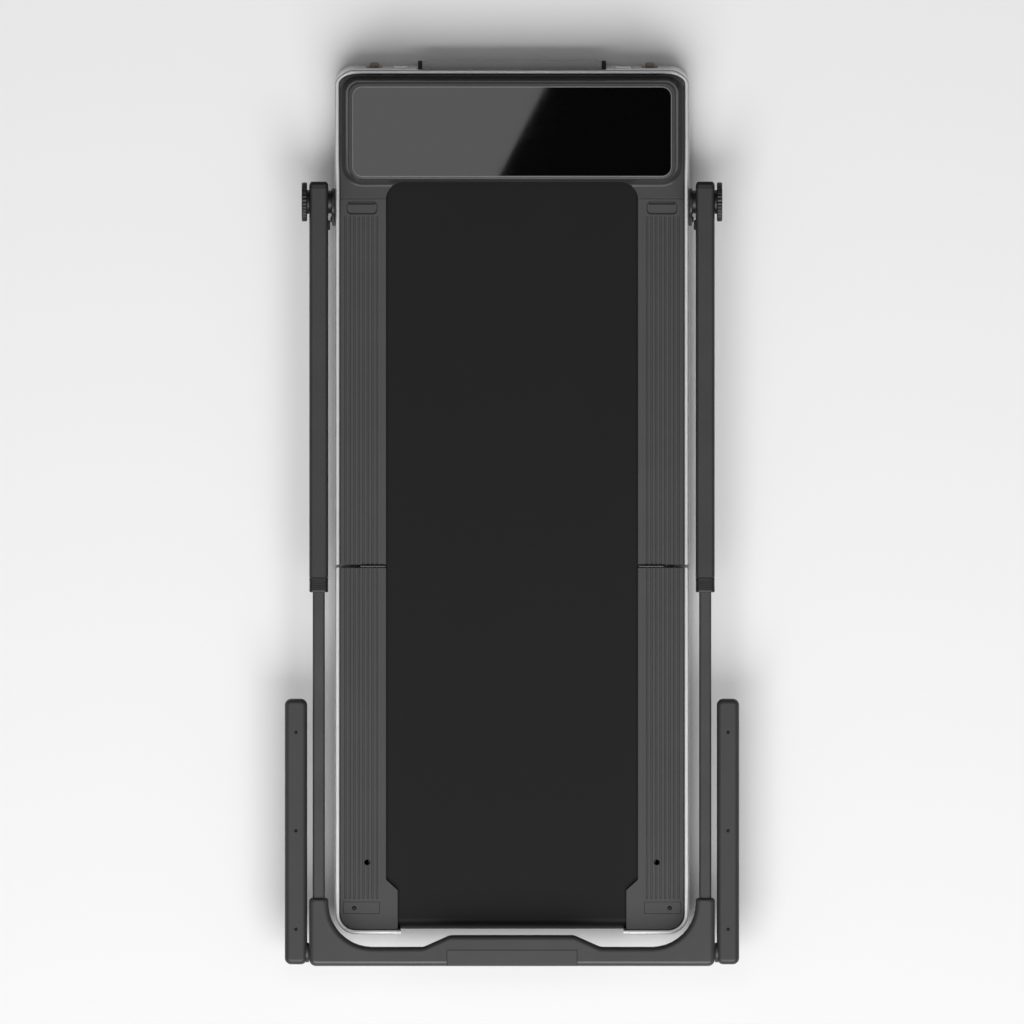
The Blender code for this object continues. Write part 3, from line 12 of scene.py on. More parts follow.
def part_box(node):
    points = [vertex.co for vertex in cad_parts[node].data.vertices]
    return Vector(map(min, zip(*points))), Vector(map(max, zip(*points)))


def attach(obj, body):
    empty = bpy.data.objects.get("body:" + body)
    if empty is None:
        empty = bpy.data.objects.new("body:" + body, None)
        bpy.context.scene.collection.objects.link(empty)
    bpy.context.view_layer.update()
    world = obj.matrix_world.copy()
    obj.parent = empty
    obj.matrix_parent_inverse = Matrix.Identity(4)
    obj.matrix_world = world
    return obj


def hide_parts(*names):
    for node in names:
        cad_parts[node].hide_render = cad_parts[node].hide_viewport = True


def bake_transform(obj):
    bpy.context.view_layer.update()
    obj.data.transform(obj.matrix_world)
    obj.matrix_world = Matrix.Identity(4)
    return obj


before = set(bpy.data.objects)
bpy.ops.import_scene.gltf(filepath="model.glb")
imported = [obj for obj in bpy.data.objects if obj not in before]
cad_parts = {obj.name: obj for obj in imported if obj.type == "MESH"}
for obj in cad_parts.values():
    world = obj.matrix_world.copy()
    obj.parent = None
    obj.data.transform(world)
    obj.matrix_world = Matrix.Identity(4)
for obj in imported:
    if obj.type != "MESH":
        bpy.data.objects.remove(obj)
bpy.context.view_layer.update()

# ---- edge trim ----
# The aluminium edge round both halves of the deck: one satin anodised extrusion with a crowned rim,
# bent at the corners, its cut ends rounded off at the fold and behind the belt. The front wall leans.

FOLD = (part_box("side_rail_front_left")[0].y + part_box("side_rail_rear_left")[1].y) / 2
SIDES = (("left", -1), ("right", 1))
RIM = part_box("trim_front")[1].z
DECK_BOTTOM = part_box("trim_front")[0].z
DECK_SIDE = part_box("trim_front")[1].x
TRIM_THICK = DECK_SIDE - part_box("side_rail_front_right")[1].x - 0.0003
GAP = 0.0025  # half of the gap at the fold
FRONT_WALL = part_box("trim_front")[1].y
REAR_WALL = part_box("trim_rear_left")[0].y
WALL_LEAN = 0.0083
FRONT_BEND = 0.0316
REAR_BEND = 0.034
HOOK_END = 0.180  # where the rear trim stops beside the belt
FOLD_END_ROUND = 0.0042
HOOK_END_ROUND = 0.0035


class Term:
    """A value in a finish's node tree, with the arithmetic that adds its Math nodes."""

    def __init__(self, finish, socket):
        self.finish = finish
        self.socket = socket

    def maths(self, operation, *values):
        return self.finish.node("ShaderNodeMath", {"operation": operation}, dict(enumerate(values)))

    def __add__(self, other):
        return self.maths("ADD", self, other)

    def __sub__(self, other):
        return self.maths("SUBTRACT", self, other)

    def __mul__(self, other):
        return self.maths("MULTIPLY", self, other)

    def __mod__(self, other):
        return self.maths("FLOORED_MODULO", self, other)

    __radd__ = __add__
    __rmul__ = __mul__

    def least(self, other):
        return self.maths("MINIMUM", self, other)

    def size(self):
        return self.maths("ABSOLUTE", self)

    def between(self, low, high):
        """0 at low and under, 1 at high and over, smooth between."""
        settings = {"interpolation_type": "SMOOTHSTEP"}
        return self.finish.node("ShaderNodeMapRange", settings, {0: self, 1: low, 2: high})


class Nodes:
    """A node tree that's built up from node calls."""

    def __init__(self, tree, shader):
        self.tree = tree
        self.shader = tree.nodes[shader]

    def feed(self, socket, value):
        if isinstance(value, Term):
            self.tree.links.new(value.socket, socket)
        else:
            socket.default_value = value

    def set(self, name, value):
        self.feed(self.shader.inputs[name], value)

    def node(self, kind, settings=None, inputs=None, output=0):
        made = self.tree.nodes.new(kind)
        for key, value in (settings or {}).items():
            setattr(made, key, value)
        for key, value in (inputs or {}).items():
            self.feed(made.inputs[key], value)
        return Term(self, made.outputs[output])


class Finish(Nodes):
    """A material on the Principled shader, laid out in metres on its piece."""

    def __init__(self, name, colour, roughness, metallic=0.0, gloss=0.5):
        self.material = bpy.data.materials.new(name)
        self.material.use_nodes = True
        super().__init__(self.material.node_tree, "Principled BSDF")
        self.colour = colour
        self.set("Base Color", (*colour, 1))
        self.set("Roughness", roughness)
        self.set("Metallic", metallic)
        self.set("Specular IOR Level", gloss)
        self.place = self.node("ShaderNodeTexCoord", output="Object")

    def noise(self, scale, detail=3.0, roughness=0.55, stretch=None):
        place = self.place
        if stretch:
            place = self.node("ShaderNodeMapping", inputs={"Vector": place, "Scale": stretch})
        inputs = {"Vector": place, "Scale": scale, "Detail": detail, "Roughness": roughness}
        return self.node("ShaderNodeTexNoise", inputs=inputs)

    def axis(self, name):
        return self.node("ShaderNodeSeparateXYZ", inputs={0: self.place}, output=name)

    def blend(self, factor, first, second):
        settings = {"data_type": "RGBA"}
        inputs = {"Factor": factor, 6: (*first, 1), 7: (*second, 1)}
        return self.node("ShaderNodeMix", settings, inputs, output=2)

    def fade(self, factor, other):
        """Turns the base colour to another where factor is 1."""
        self.set("Base Color", self.blend(factor, self.colour, other))

    def bump(self, height, depth, strength):
        inputs = {"Height": height, "Distance": depth, "Strength": strength}
        self.set("Normal", self.node("ShaderNodeBump", inputs=inputs))


SHARP = 38  # degrees; an edge that turns more stays sharp
SEAM = 0.0003  # gap that shows between neighbouring pieces
TURNS = {
    "X": lambda a, b, c: (c, a, b),
    "Y": lambda a, b, c: (a, c, b),
    "Z": lambda a, b, c: (a, b, c),
}  # from an outline's two coordinates and the distance along the axis to x, y, z


def smooth(mesh, sharp=SHARP):
    mesh.polygons.foreach_set("use_smooth", [True] * len(mesh.polygons))
    mesh.set_sharp_from_angle(angle=math.radians(sharp))


def shaded(name, bm, material, sharp=SHARP):
    """Turns a bmesh into an object, smooth but for its sharp edges."""
    bmesh.ops.recalc_face_normals(bm, faces=bm.faces)
    mesh = bpy.data.meshes.new(name)
    bm.to_mesh(mesh)
    bm.free()
    smooth(mesh, sharp)
    piece = bpy.data.objects.new(name, mesh)
    bpy.context.scene.collection.objects.link(piece)
    if material:
        mesh.materials.clear()
        mesh.materials.append(material.material)
    return piece


def stitched(name, sections, material, closed=False, sharp=SHARP):
    """Joins sections, lists of points with one count, into a skin; open ends are capped."""
    bm = bmesh.new()
    rows = [[bm.verts.new(point) for point in section] for section in sections]
    count = len(rows[0])
    pairs = list(zip(rows, rows[1:] + rows[:1])) if closed else list(zip(rows, rows[1:]))
    for low, high in pairs:
        for i in range(count):
            j = (i + 1) % count
            bm.faces.new((low[i], low[j], high[j], high[i]))
    if not closed:
        bm.faces.new(rows[0])
        bm.faces.new(rows[-1])
    return shaded(name, bm, material, sharp)


def arc(centre, radius, start, end, steps):
    """Points on a circle between two angles in degrees."""
    angles = [math.radians(start + (end - start) * k / steps) for k in range(steps + 1)]
    return [(centre[0] + radius * math.cos(t), centre[1] + radius * math.sin(t)) for t in angles]


def ring(corners, steps=8):
    """A closed outline from corners (a, b, radius)."""
    points = []
    for i, (a, b, radius) in enumerate(corners):
        here = Vector((a, b))
        if not radius:
            points.append((a, b))
            continue
        back = (Vector(corners[i - 1][:2]) - here).normalized()
        ahead = (Vector(corners[(i + 1) % len(corners)][:2]) - here).normalized()
        half = back.angle(ahead) / 2
        centre = here + (back + ahead).normalized() * radius / math.sin(half)
        start = here + back * radius / math.tan(half) - centre
        end = here + ahead * radius / math.tan(half) - centre
        first = math.atan2(start.y, start.x)
        turn = math.remainder(math.atan2(end.y, end.x) - first, 2 * math.pi)
        for k in range(steps + 1):
            angle = first + turn * k / steps
            points.append((centre.x + radius * math.cos(angle), centre.y + radius * math.sin(angle)))
    return points


def rounded(a, b, radius, steps=8):
    """A rounded rectangle between pairs of its two coordinates."""
    (a0, a1), (b0, b1) = sorted(a), sorted(b)
    return ring([(a0, b0, radius), (a1, b0, radius), (a1, b1, radius), (a0, b1, radius)], steps)


def panel(a, b, inset, radius, steps):
    """A rounded rectangle over the spans a and b, drawn in by inset."""
    return rounded((a[0] + inset, a[1] - inset), (b[0] + inset, b[1] - inset), radius, steps)


def trim_section():
    """Depth in from the outer face, and height, round the extrusion."""
    crown = [(0.0, RIM - 0.0022)]
    crown += [(0.0022 - x, z) for x, z in arc((0, RIM - 0.0024), 0.0022, 20, 80, 4)]
    crown += [(0.0036, RIM), (0.0056, RIM - 0.0001), (0.0070, RIM - 0.0005)]
    crown += [(0.0078, RIM - 0.0011), (TRIM_THICK, RIM - 0.0020)]
    foot = [(TRIM_THICK, DECK_BOTTOM + 0.0006), (0.0077, DECK_BOTTOM), (0.0012, DECK_BOTTOM)]
    foot += [(0.0003, DECK_BOTTOM + 0.0004), (0.0, DECK_BOTTOM + 0.0014)]
    for height in (0.0205, 0.0245):
        foot += [(0.0, height - 0.0009), (0.0006, height), (0.0, height + 0.0009)]
    return crown + foot


def end_pull(distance, radius):
    """How far a rounded cut end is drawn in, at a distance from it."""
    return radius - math.sqrt(max(radius**2 - (radius - distance) ** 2, 0)) if distance < radius else 0


def trim_path(front):
    """Stations along the trim: point on the outer face, way out, and pull-in at a cut end."""
    sign, wall, bend = (1, FRONT_WALL, FRONT_BEND) if front else (-1, REAR_WALL, REAR_BEND)
    start = FOLD + sign * GAP
    stations = []
    for d in (0, 0.0003, 0.0008, 0.0016, 0.0027, 0.0040):
        stations.append(((DECK_SIDE, start + sign * d), (1, 0), end_pull(d, FOLD_END_ROUND)))
    stations.append(((DECK_SIDE, wall - sign * bend), (1, 0), 0))
    centre = (DECK_SIDE - bend, wall - sign * bend)
    for k in range(1, 17):
        t = math.radians(90 * k / 16)
        way = (math.cos(t), sign * math.sin(t))
        stations.append(((centre[0] + bend * way[0], centre[1] + bend * way[1]), way, 0))
    return stations


def trim(name, front, material):
    section = trim_section()
    stations = trim_path(front)
    if front:
        half = stations
        stations = half + [((-p[0], p[1]), (-w[0], w[1]), pull) for p, w, pull in reversed(half)]
    else:
        for d in (HOOK_END_ROUND, 0.0022, 0.0012, 0.0005, 0.0001, 0):
            stations.append(((HOOK_END + d, REAR_WALL), (0, -1), end_pull(d, HOOK_END_ROUND)))
    rows = []
    for (x, y), (wx, wy), pull in stations:
        row = []
        for depth, z in section:
            depth = max(depth, pull)
            py = y - wy * depth
            if front:
                share = min(max((py - (FRONT_WALL - FRONT_BEND)) / (FRONT_BEND - TRIM_THICK), 0), 1)
                py -= WALL_LEAN * share * (z - DECK_BOTTOM) / (RIM - DECK_BOTTOM)
            row.append((x - wx * depth, py, z))
        rows.append(row)
    return stitched(name, rows, material, sharp=50)


def anodised():
    finish = Finish("anodised aluminium", (0.72, 0.72, 0.73), 0.38, metallic=1.0)
    drawn = finish.noise(30, 2, 0.5, stretch=(30, 1.2, 30))
    cloud = finish.noise(14, 3)
    rub = finish.noise(160, 4, 0.7)
    finish.set("Roughness", 0.30 + drawn * 0.10 + cloud * 0.08)
    dull = rub.between(0.62, 0.74) * 0.35
    finish.fade(dull, (0.60, 0.60, 0.61))
    finish.bump(drawn, 0.00006, 0.5)
    return finish


def cutter(name, section, span, along):
    """A tool body that's taken out of a piece, then thrown away."""
    turn = TURNS[along]
    return stitched(name, [[turn(a, b, distance) for a, b in section] for distance in sorted(span)], None)


def settle(piece):
    """Applies a piece's modifiers."""
    depsgraph = bpy.context.evaluated_depsgraph_get()
    old = piece.data
    fresh = bpy.data.meshes.new_from_object(piece.evaluated_get(depsgraph))
    piece.modifiers.clear()
    piece.data = fresh
    bpy.data.meshes.remove(old)


def carve(piece, tool, operation="DIFFERENCE"):
    """Cuts a tool out of a piece, or joins it on, and keeps the smooth shading."""
    step = piece.modifiers.new("carve", "BOOLEAN")
    step.object = tool
    step.operation = operation
    step.solver = "EXACT"
    settle(piece)
    smooth(piece.data)
    bpy.data.objects.remove(tool)


def soften(piece, width, angle=45):
    """Rounds a piece's sharp edges."""
    step = piece.modifiers.new("edges", "BEVEL")
    step.width = width
    step.segments = 2
    step.limit_method = "ANGLE"
    step.angle_limit = math.radians(angle)
    step.use_clamp_overlap = False
    step.miter_outer = "MITER_ARC"
    settle(piece)
    smooth(piece.data)
    return piece


def crisp(piece):
    """Keeps broad faces flat in the light, and the rounded edges smooth."""
    step = piece.modifiers.new("normals", "WEIGHTED_NORMAL")
    step.keep_sharp = True
    step.weight = 100
    settle(piece)


def mirror(piece):
    piece.data.transform(Matrix.Scale(-1, 4, (1, 0, 0)))
    piece.data.flip_normals()


def fit(piece, body, slot, *nodes, sign=1):
    """Puts a finished piece on its body, in place of its CAD nodes; sign -1 mirrors it to the left."""
    if sign < 0:
        mirror(piece)
    crisp(piece)
    if nodes:
        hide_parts(*nodes)
    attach(piece, body)


ALUMINIUM = anodised()
front_trim = trim("edge_trim_front", True, ALUMINIUM)
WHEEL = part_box("transport_wheel_right")
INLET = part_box("power_inlet")
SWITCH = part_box("power_switch")
WHEEL_MOUTH = 0.0130  # half width
wall = (FRONT_WALL - 0.030, FRONT_WALL + 0.01)
mouths = []
for side, sign in SIDES:
    middle = sign * (WHEEL[0].x + WHEEL[1].x) / 2
    across = (middle - WHEEL_MOUTH, middle + WHEEL_MOUTH)
    mouths.append(rounded(across, (DECK_BOTTOM - 0.012, WHEEL[1].z + 0.002), 0.003))
for (low, high), gap, radius in ((INLET, 0.0004, 0.002), (SWITCH, 0.0005, 0.001)):
    mouths.append(rounded((low.x - gap, high.x + gap), (low.z - 0.0004, high.z + 0.0004), radius))
for mouth in mouths:
    carve(front_trim, cutter("wall_mouth", mouth, wall, "Y"))
fit(front_trim, "deck_front", "trim_aluminium", "trim_front")
for side, sign in SIDES:
    rear_trim = trim(f"edge_trim_rear_{side}", False, ALUMINIUM)
    fit(rear_trim, "deck_rear", "trim_aluminium", f"trim_rear_{side}", sign=sign)

# ---- side rails ----
# The rails beside the belt are moulded in one graphite plastic with a fine spark texture. Eight long
# grooves give grip; the rear pair widens into the end caps, with a screwed cover over the belt bolts.

FRONT_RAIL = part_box("side_rail_front_right")
REAR_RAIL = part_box("side_rail_rear_right")
RAIL_BOTTOM = FRONT_RAIL[0].z
RAIL_IN = FRONT_RAIL[0].x
RAIL_OUT = FRONT_RAIL[1].x
RAIL_FRONT = FRONT_RAIL[1].y
RAIL_REAR = REAR_RAIL[0].y
CAP_IN = REAR_RAIL[0].x  # the rear rails step inwards here, beside the belt's end
RAIL_CORNER = 0.0012
STEP = (FOLD - 0.524, FOLD - 0.507)
GROOVE_RADIUS = 0.00225
GROOVE_PITCH = 0.0073
GROOVE_ROWS = [0.2184 + GROOVE_PITCH * i for i in range(8)]
FINGER_SCOOP = ((0.218, 0.267), (FOLD + 0.569, FOLD + 0.590))
SCOOP_SLOT = ((0.2205, 0.2645), (FOLD + 0.5846, FOLD + 0.5890))
COVER_SEAT = ((0.214, 0.273), (FOLD - 0.562, FOLD - 0.543))
COVER_SCREW = (0.255, FOLD - 0.553)
RAIL_HOLE = (0.234, FOLD - 0.479)
GROOVE_ENDS = {True: (FOLD - 0.002, FOLD + 0.565), False: (FOLD - 0.536, FOLD + 0.002)}


def moulded(name, colour, roughness, grain=0.00004, scale=2600):
    """Spark-textured moulding: fine grain, faint flow clouds and a little handling wear."""
    finish = Finish(name, colour, roughness)
    fine = finish.noise(scale, 2, 0.6)
    cloud = finish.noise(9, 4)
    wear = finish.noise(70, 5, 0.65)
    rubbed = wear.between(0.60, 0.78)
    finish.set("Roughness", roughness - 0.05 + cloud * 0.10 + rubbed * -0.10)
    lighter = tuple(1.22 * c + 0.003 for c in colour)
    finish.fade(cloud.between(0.35, 0.75) * 0.45 + rubbed * 0.25, lighter)
    finish.bump(fine, grain, 0.55)
    return finish


def layered(name, outline_at, levels, material, along="Z", closed=False):
    """A body stacked from outlines: levels are (inset, height), outline_at gives a ring for an inset."""
    turn = TURNS[along]
    rows = [[turn(a, b, height) for a, b in outline_at(inset)] for inset, height in levels]
    return stitched(name, rows, material, closed)


def edge_levels(low, high, top, foot=0.0, steps=4):
    """Levels with a quarter round of radius top at the upper edge, and foot at the lower one."""
    levels = []
    for k in range(steps + 1 if foot else 1):
        t = math.radians(90 * k / steps)
        levels.append((foot * (1 - math.sin(t)), low + foot * (1 - math.cos(t))))
    for k in range(steps + 1 if top else 1):
        t = math.radians(90 * k / steps)
        levels.append((top * (1 - math.cos(t)), high - top * (1 - math.sin(t))))
    return levels


def groove_tool(x, ends):
    """A long stadium with a flared lip and a round bottom."""
    def outline(inset):
        radius = GROOVE_RADIUS - inset
        return arc((x, ends[0]), radius, 180, 360, 9) + arc((x, ends[1]), radius, 0, 180, 9)
    levels = [(0.0017, RIM - 0.00115), (0.00125, RIM - 0.0010), (0.00095, RIM - 0.0006)]
    levels += [(0.0008, RIM - 0.00025), (0.0, RIM + 0.0006)]
    return layered("groove", outline, levels, None)


RAIL_PLASTIC = moulded("graphite rail plastic", (0.043, 0.043, 0.0445), 0.50)


def rail_outline(front, inset):
    inner, outer = RAIL_IN + inset, RAIL_OUT - inset
    if front:
        return rounded((inner, outer), (FOLD + GAP + inset, RAIL_FRONT - inset), RAIL_CORNER, 3)
    near, far, cap = FOLD - GAP - inset, RAIL_REAR + inset, CAP_IN + inset
    return ring([(inner, near, RAIL_CORNER), (outer, near, RAIL_CORNER),
                 (outer, far, REAR_BEND - TRIM_THICK - inset), (cap, far, 0.002),
                 (cap, STEP[0], 0.004 + inset), (inner, STEP[1], 0.004 - inset)], 6)


def pocket_tool(x, y, radius, depth, flare=0.0006):
    """A pocket's tool: steep walls, flared lip and rounded floor edge."""
    def outline(inset):
        return panel(x, y, inset, max(radius - inset, 0.0003), 5)
    floor = RIM - depth
    levels = [(0.0009, floor), (0.0003, floor + 0.0006), (0.0, RIM - 0.0004), (-flare, RIM + 0.0003)]
    return layered("pocket", outline, levels, None)


def circle(centre, radius, sides):
    return arc(centre, radius, 0, 360 * (sides - 1) / sides, sides - 1)


def hole_tool(x, y, radius, low, high, sides=28, flare=0.0005):
    levels = [(0, low), (0, high - flare), (-flare * 2, high + flare)]
    return layered("hole", lambda inset: circle((x, y), radius - inset, sides), levels, None)


for half, front in (("front", True), ("rear", False)):
    for side, sign in SIDES:
        rail = layered(f"side_rail_{half}_{side}", lambda inset: rail_outline(front, inset),
                       edge_levels(RAIL_BOTTOM, RIM, 0.0008), RAIL_PLASTIC)
        for x in GROOVE_ROWS:
            carve(rail, groove_tool(x, GROOVE_ENDS[front]))
        if front:
            carve(rail, pocket_tool(*FINGER_SCOOP, 0.007, 0.0030))
            carve(rail, pocket_tool(*SCOOP_SLOT, 0.002, 0.0068, flare=0))
        else:
            carve(rail, pocket_tool(*COVER_SEAT, 0.002, 0.0018))
            carve(rail, hole_tool(*RAIL_HOLE, 0.0045, RAIL_BOTTOM - 0.001, RIM))
            carve(rail, hole_tool(*COVER_SCREW, 0.0045, RAIL_BOTTOM - 0.001, RIM - 0.0016))
        fit(rail, f"deck_{half}", "rail_plastic", f"side_rail_{half}_{side}", sign=sign)

# ---- belt-bolt covers ----
# A thin moulded plate over each belt-tension bolt in the end caps, held by one dark countersunk screw.

SCREW_STEEL = Finish("blackened screw steel", (0.03, 0.03, 0.032), 0.38, metallic=0.9)
grime = SCREW_STEEL.noise(900, 3)
SCREW_STEEL.set("Roughness", 0.30 + grime * 0.22)
SCREW_STEEL.bump(grime, 0.00004, 0.4)


def quarter_turned(points, turns):
    for _ in range(turns):
        points = [(-b, a) for a, b in points]
    return points


def screw_mesh(radius, height):
    """A pan-head screw with a cross recess, its seat at the origin, facing +Z."""
    profile = [(1, 0), (0.98, 0.45), (0.85, 0.8), (0.6, 0.96), (0.2, 1)]
    rows = [[(x, y, height * up) for x, y in circle((0, 0), radius * out, 24)] for out, up in profile]
    head = stitched("screw", rows, SCREW_STEEL, sharp=50)
    arm, half, deep = radius * 0.55, radius * 0.13, height * 0.45
    quarter = [(arm, -half), (arm, half), (half, half)]
    star = [point for turn in range(4) for point in quarter_turned(quarter, turn)]
    carve(head, cutter("recess", star, (deep, height * 1.5), "Z"))
    mesh = head.data
    bpy.data.objects.remove(head)
    return mesh


def screws(name, mesh, places, body, facing=(0, 0, 1)):
    """One piece of all the like screws on a body."""
    turn = Vector((0, 0, 1)).rotation_difference(Vector(facing)).to_matrix().to_4x4()
    bm = bmesh.new()
    for place in places:
        head = mesh.copy()
        head.transform(Matrix.Translation(place) @ turn)
        bm.from_mesh(head)
        bpy.data.meshes.remove(head)
    fit(shaded(name, bm, SCREW_STEEL, sharp=50), body, "machined_steel")


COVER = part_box("tension_cover_right")
small_screw = screw_mesh(0.0030, 0.0014)


def inset_box(box, inset, radius, steps, axes="xy"):
    """The outline of a box seen along one axis, drawn in by inset."""
    low, high = box
    return panel(*[(getattr(low, axis), getattr(high, axis)) for axis in axes], inset, radius, steps)


cover_levels = edge_levels(COVER[0].z, COVER[1].z, 0.0004, steps=2)
for side, sign in SIDES:
    cover = layered(f"belt_bolt_cover_{side}", lambda inset: inset_box(COVER, inset, 0.0018, 4),
                    cover_levels, RAIL_PLASTIC)
    carve(cover, hole_tool(*COVER_SCREW, 0.00335, COVER[0].z - 0.001, COVER[1].z, flare=0.0003))
    fit(cover, "deck_rear", "rail_plastic", f"tension_cover_{side}", sign=sign)
    place = (sign * COVER_SCREW[0], COVER_SCREW[1], COVER[0].z - 0.0006)
    screws(f"cover_screw_{side}", small_screw, [place], "deck_rear")

# ---- walking belt ----
# An endless woven belt with a fine diamond-ribbed black cover, stretched over both rollers. It's one
# loop, and its middle is cut finely round the fold.

BELT_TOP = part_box("belt_front")[1].z
BELT_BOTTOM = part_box("belt_front")[0].z
BELT_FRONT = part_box("belt_front")[1].y
BELT_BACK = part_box("belt_rear")[0].y
BELT_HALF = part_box("belt_front")[1].x
BELT_THICK = 0.0016
BELT_CUTS = 0.034  # half length of the zone that bends at the fold


def belt_finish():
    finish = Finish("walking belt", (0.0030, 0.0030, 0.0032), 0.46, gloss=0.22)
    x, y = finish.axis("X"), finish.axis("Y")
    pitch = 0.0022
    first = ((x + y) % pitch) * (1 / pitch) - 0.5
    second = ((x - y) % pitch) * (1 / pitch) - 0.5
    diamond = first.size().least(second.size())
    trodden = finish.noise(5.5, 4, 0.6)
    dust = finish.noise(420, 3, 0.7)
    middle = x.size().between(0.215, 0.150)
    finish.set("Roughness", 0.44 + dust * 0.10 + (trodden * middle) * 0.10)
    worn = (trodden.between(0.40, 0.72) * middle) * 0.35 + dust.between(0.60, 0.80) * 0.25
    finish.fade(worn, (0.0056, 0.0055, 0.0054))
    finish.bump(diamond, 0.00010, 0.5)
    return finish


def belt_loop(drop):
    """The loop's line, drop under its outer face: front roller, underside, rear roller, top."""
    radius = (BELT_TOP - BELT_BOTTOM) / 2
    middle = (BELT_TOP + BELT_BOTTOM) / 2
    front = BELT_FRONT - radius
    back = BELT_BACK + radius
    near = [FOLD + BELT_CUTS * (1 - 2 * k / 28) for k in range(29)]
    def run(a, b, count):
        return [a + (b - a) * k / count for k in range(1, count)]
    top = [*run(back, near[-1], 16), *reversed(near), *run(near[0], front, 16)]
    low = [*run(front, near[0], 16), *near, *run(near[-1], back, 16)]
    points = [(y, BELT_TOP - drop) for y in top]
    points += arc((front, middle), radius - drop, 90, -90, 20)
    points += [(y, BELT_BOTTOM + drop) for y in low]
    points += arc((back, middle), radius - drop, 270, 90, 20)
    return points


BELT_EDGE = 0.0005  # the slant along the belt's cut edges
outer, inner, rim = belt_loop(0), belt_loop(BELT_THICK), belt_loop(BELT_EDGE)
right = [(0.5 * BELT_HALF, outer), (BELT_HALF - BELT_EDGE, outer), (BELT_HALF, rim), (BELT_HALF, inner)]
loops = [(-x, line) for x, line in reversed(right)] + [(0, outer)] + right + [(0, inner)]
rows = [[(x, y, z) for y, z in line] for x, line in loops]
belt = stitched("walking_belt", rows, belt_finish(), closed=True, sharp=60)
crisp(belt)
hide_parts("belt_front", "belt_rear")
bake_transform(belt)

# ---- hood ----
# The cover over the motor bay is one injection moulding in satin graphite. Its walls lean in to a flat
# roof, a notch lets the belt pass under it, and its flange lies level with the rails.

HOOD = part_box("hood")
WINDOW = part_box("display_window")
FLANGE = RIM - 0.003
HOOD_FRONT = HOOD[1].y
SLOPE_FOOT = FOLD + 0.6116
MOUTH_END = FOLD + 0.621
MOUTH_CORNER = 0.028
HOOD_PLASTIC = moulded("satin hood plastic", (0.036, 0.036, 0.0375), 0.38, grain=0.000025)


DOME_BACK = 0.0005  # the dome starts this far inside the hood's box
ROOF_INSET = 0.0152
top = HOOD[1].z


def broad_ring(x, ends, rear, front, steps):
    """An outline centred on the deck: half width, two ends, and the corners' radii at each end."""
    return ring([(-x, ends[0], rear), (x, ends[0], rear), (x, ends[1], front), (-x, ends[1], front)], steps)


def hood_outline(inset):
    """A ring of the dome, whose corners tighten from the foot to the roof."""
    share = inset / ROOF_INSET
    ends = (SLOPE_FOOT + DOME_BACK + inset, HOOD_FRONT - DOME_BACK - inset)
    rear, front = 0.036 + (0.022 - 0.036) * share, 0.0228 + (0.018 - 0.0228) * share
    return broad_ring(HOOD[1].x - DOME_BACK - inset, ends, rear, front, 12)


walls = [(0.0024, 0.0004), (0.0042, 0.0013), (0.0058, 0.0028), (0.0068, 0.0052), (0.0075, 0.0090)]
walls += [(0.0086, 0.0200), (0.0098, 0.0360), (0.0106, 0.0500)]
roof = [(0.0112, 0.0044), (0.0120, 0.0023), (0.0130, 0.0010), (0.0142, 0.0002), (ROOF_INSET, 0)]
dome = [(0.0, FLANGE + 0.0004), (0.0, RIM - 0.0008)]
dome += [(inset, RIM + rise) for inset, rise in walls] + [(inset, top - drop) for inset, drop in roof]
hood = layered("hood", hood_outline, dome, HOOD_PLASTIC)
flange_front = FRONT_WALL - WALL_LEAN - TRIM_THICK - SEAM


def flange_outline(inset):
    ends = (RAIL_FRONT + SEAM + inset, flange_front - inset)
    return broad_ring(HOOD[1].x - inset, ends, 0.001, 0.0233 - inset, 6)


flange = layered("flange", flange_outline, edge_levels(FLANGE, RIM, 0.0008), HOOD_PLASTIC)
carve(hood, flange, operation="UNION")


def mouth_outline(grow):
    return broad_ring(RAIL_IN + grow, (RAIL_FRONT - 0.02, MOUTH_END + grow), 0, MOUTH_CORNER + grow, 12)


carve(hood, cutter("mouth", mouth_outline(0), (0.05, 0.2), "Z"))
soften(hood, 0.0009, angle=50)


def hollow_outline(inset):
    return broad_ring(HOOD[1].x - inset, (SLOPE_FOOT + inset, HOOD_FRONT - inset), 0.030, 0.020, 8)


hollow_levels = [(0.0112, 0.05), (0.0112, RIM + 0.0100), (0.0168, top - 0.0055)]
hollow = layered("hollow", hollow_outline, hollow_levels, None)
carve(hollow, cutter("guard", mouth_outline(0.003), (0.045, 0.2), "Z"))
carve(hood, hollow)


def window_outline(inset):
    return inset_box(WINDOW, inset, 0.016 - inset, 12)


seat = [(-0.0004, WINDOW[0].z - 0.0003), (-0.0004, top - 0.0005), (-0.0011, top + 0.0002)]
carve(hood, layered("seat", window_outline, seat, None))
carve(hood, layered("display_hole", window_outline, [(0.006, 0.1), (0.006, 0.2)], None))
fit(hood, "deck_front", "hood_plastic", "hood")

# ---- display window ----
# A black tinted acrylic plate, polished, glued flush into the roof of the hood over the display board.

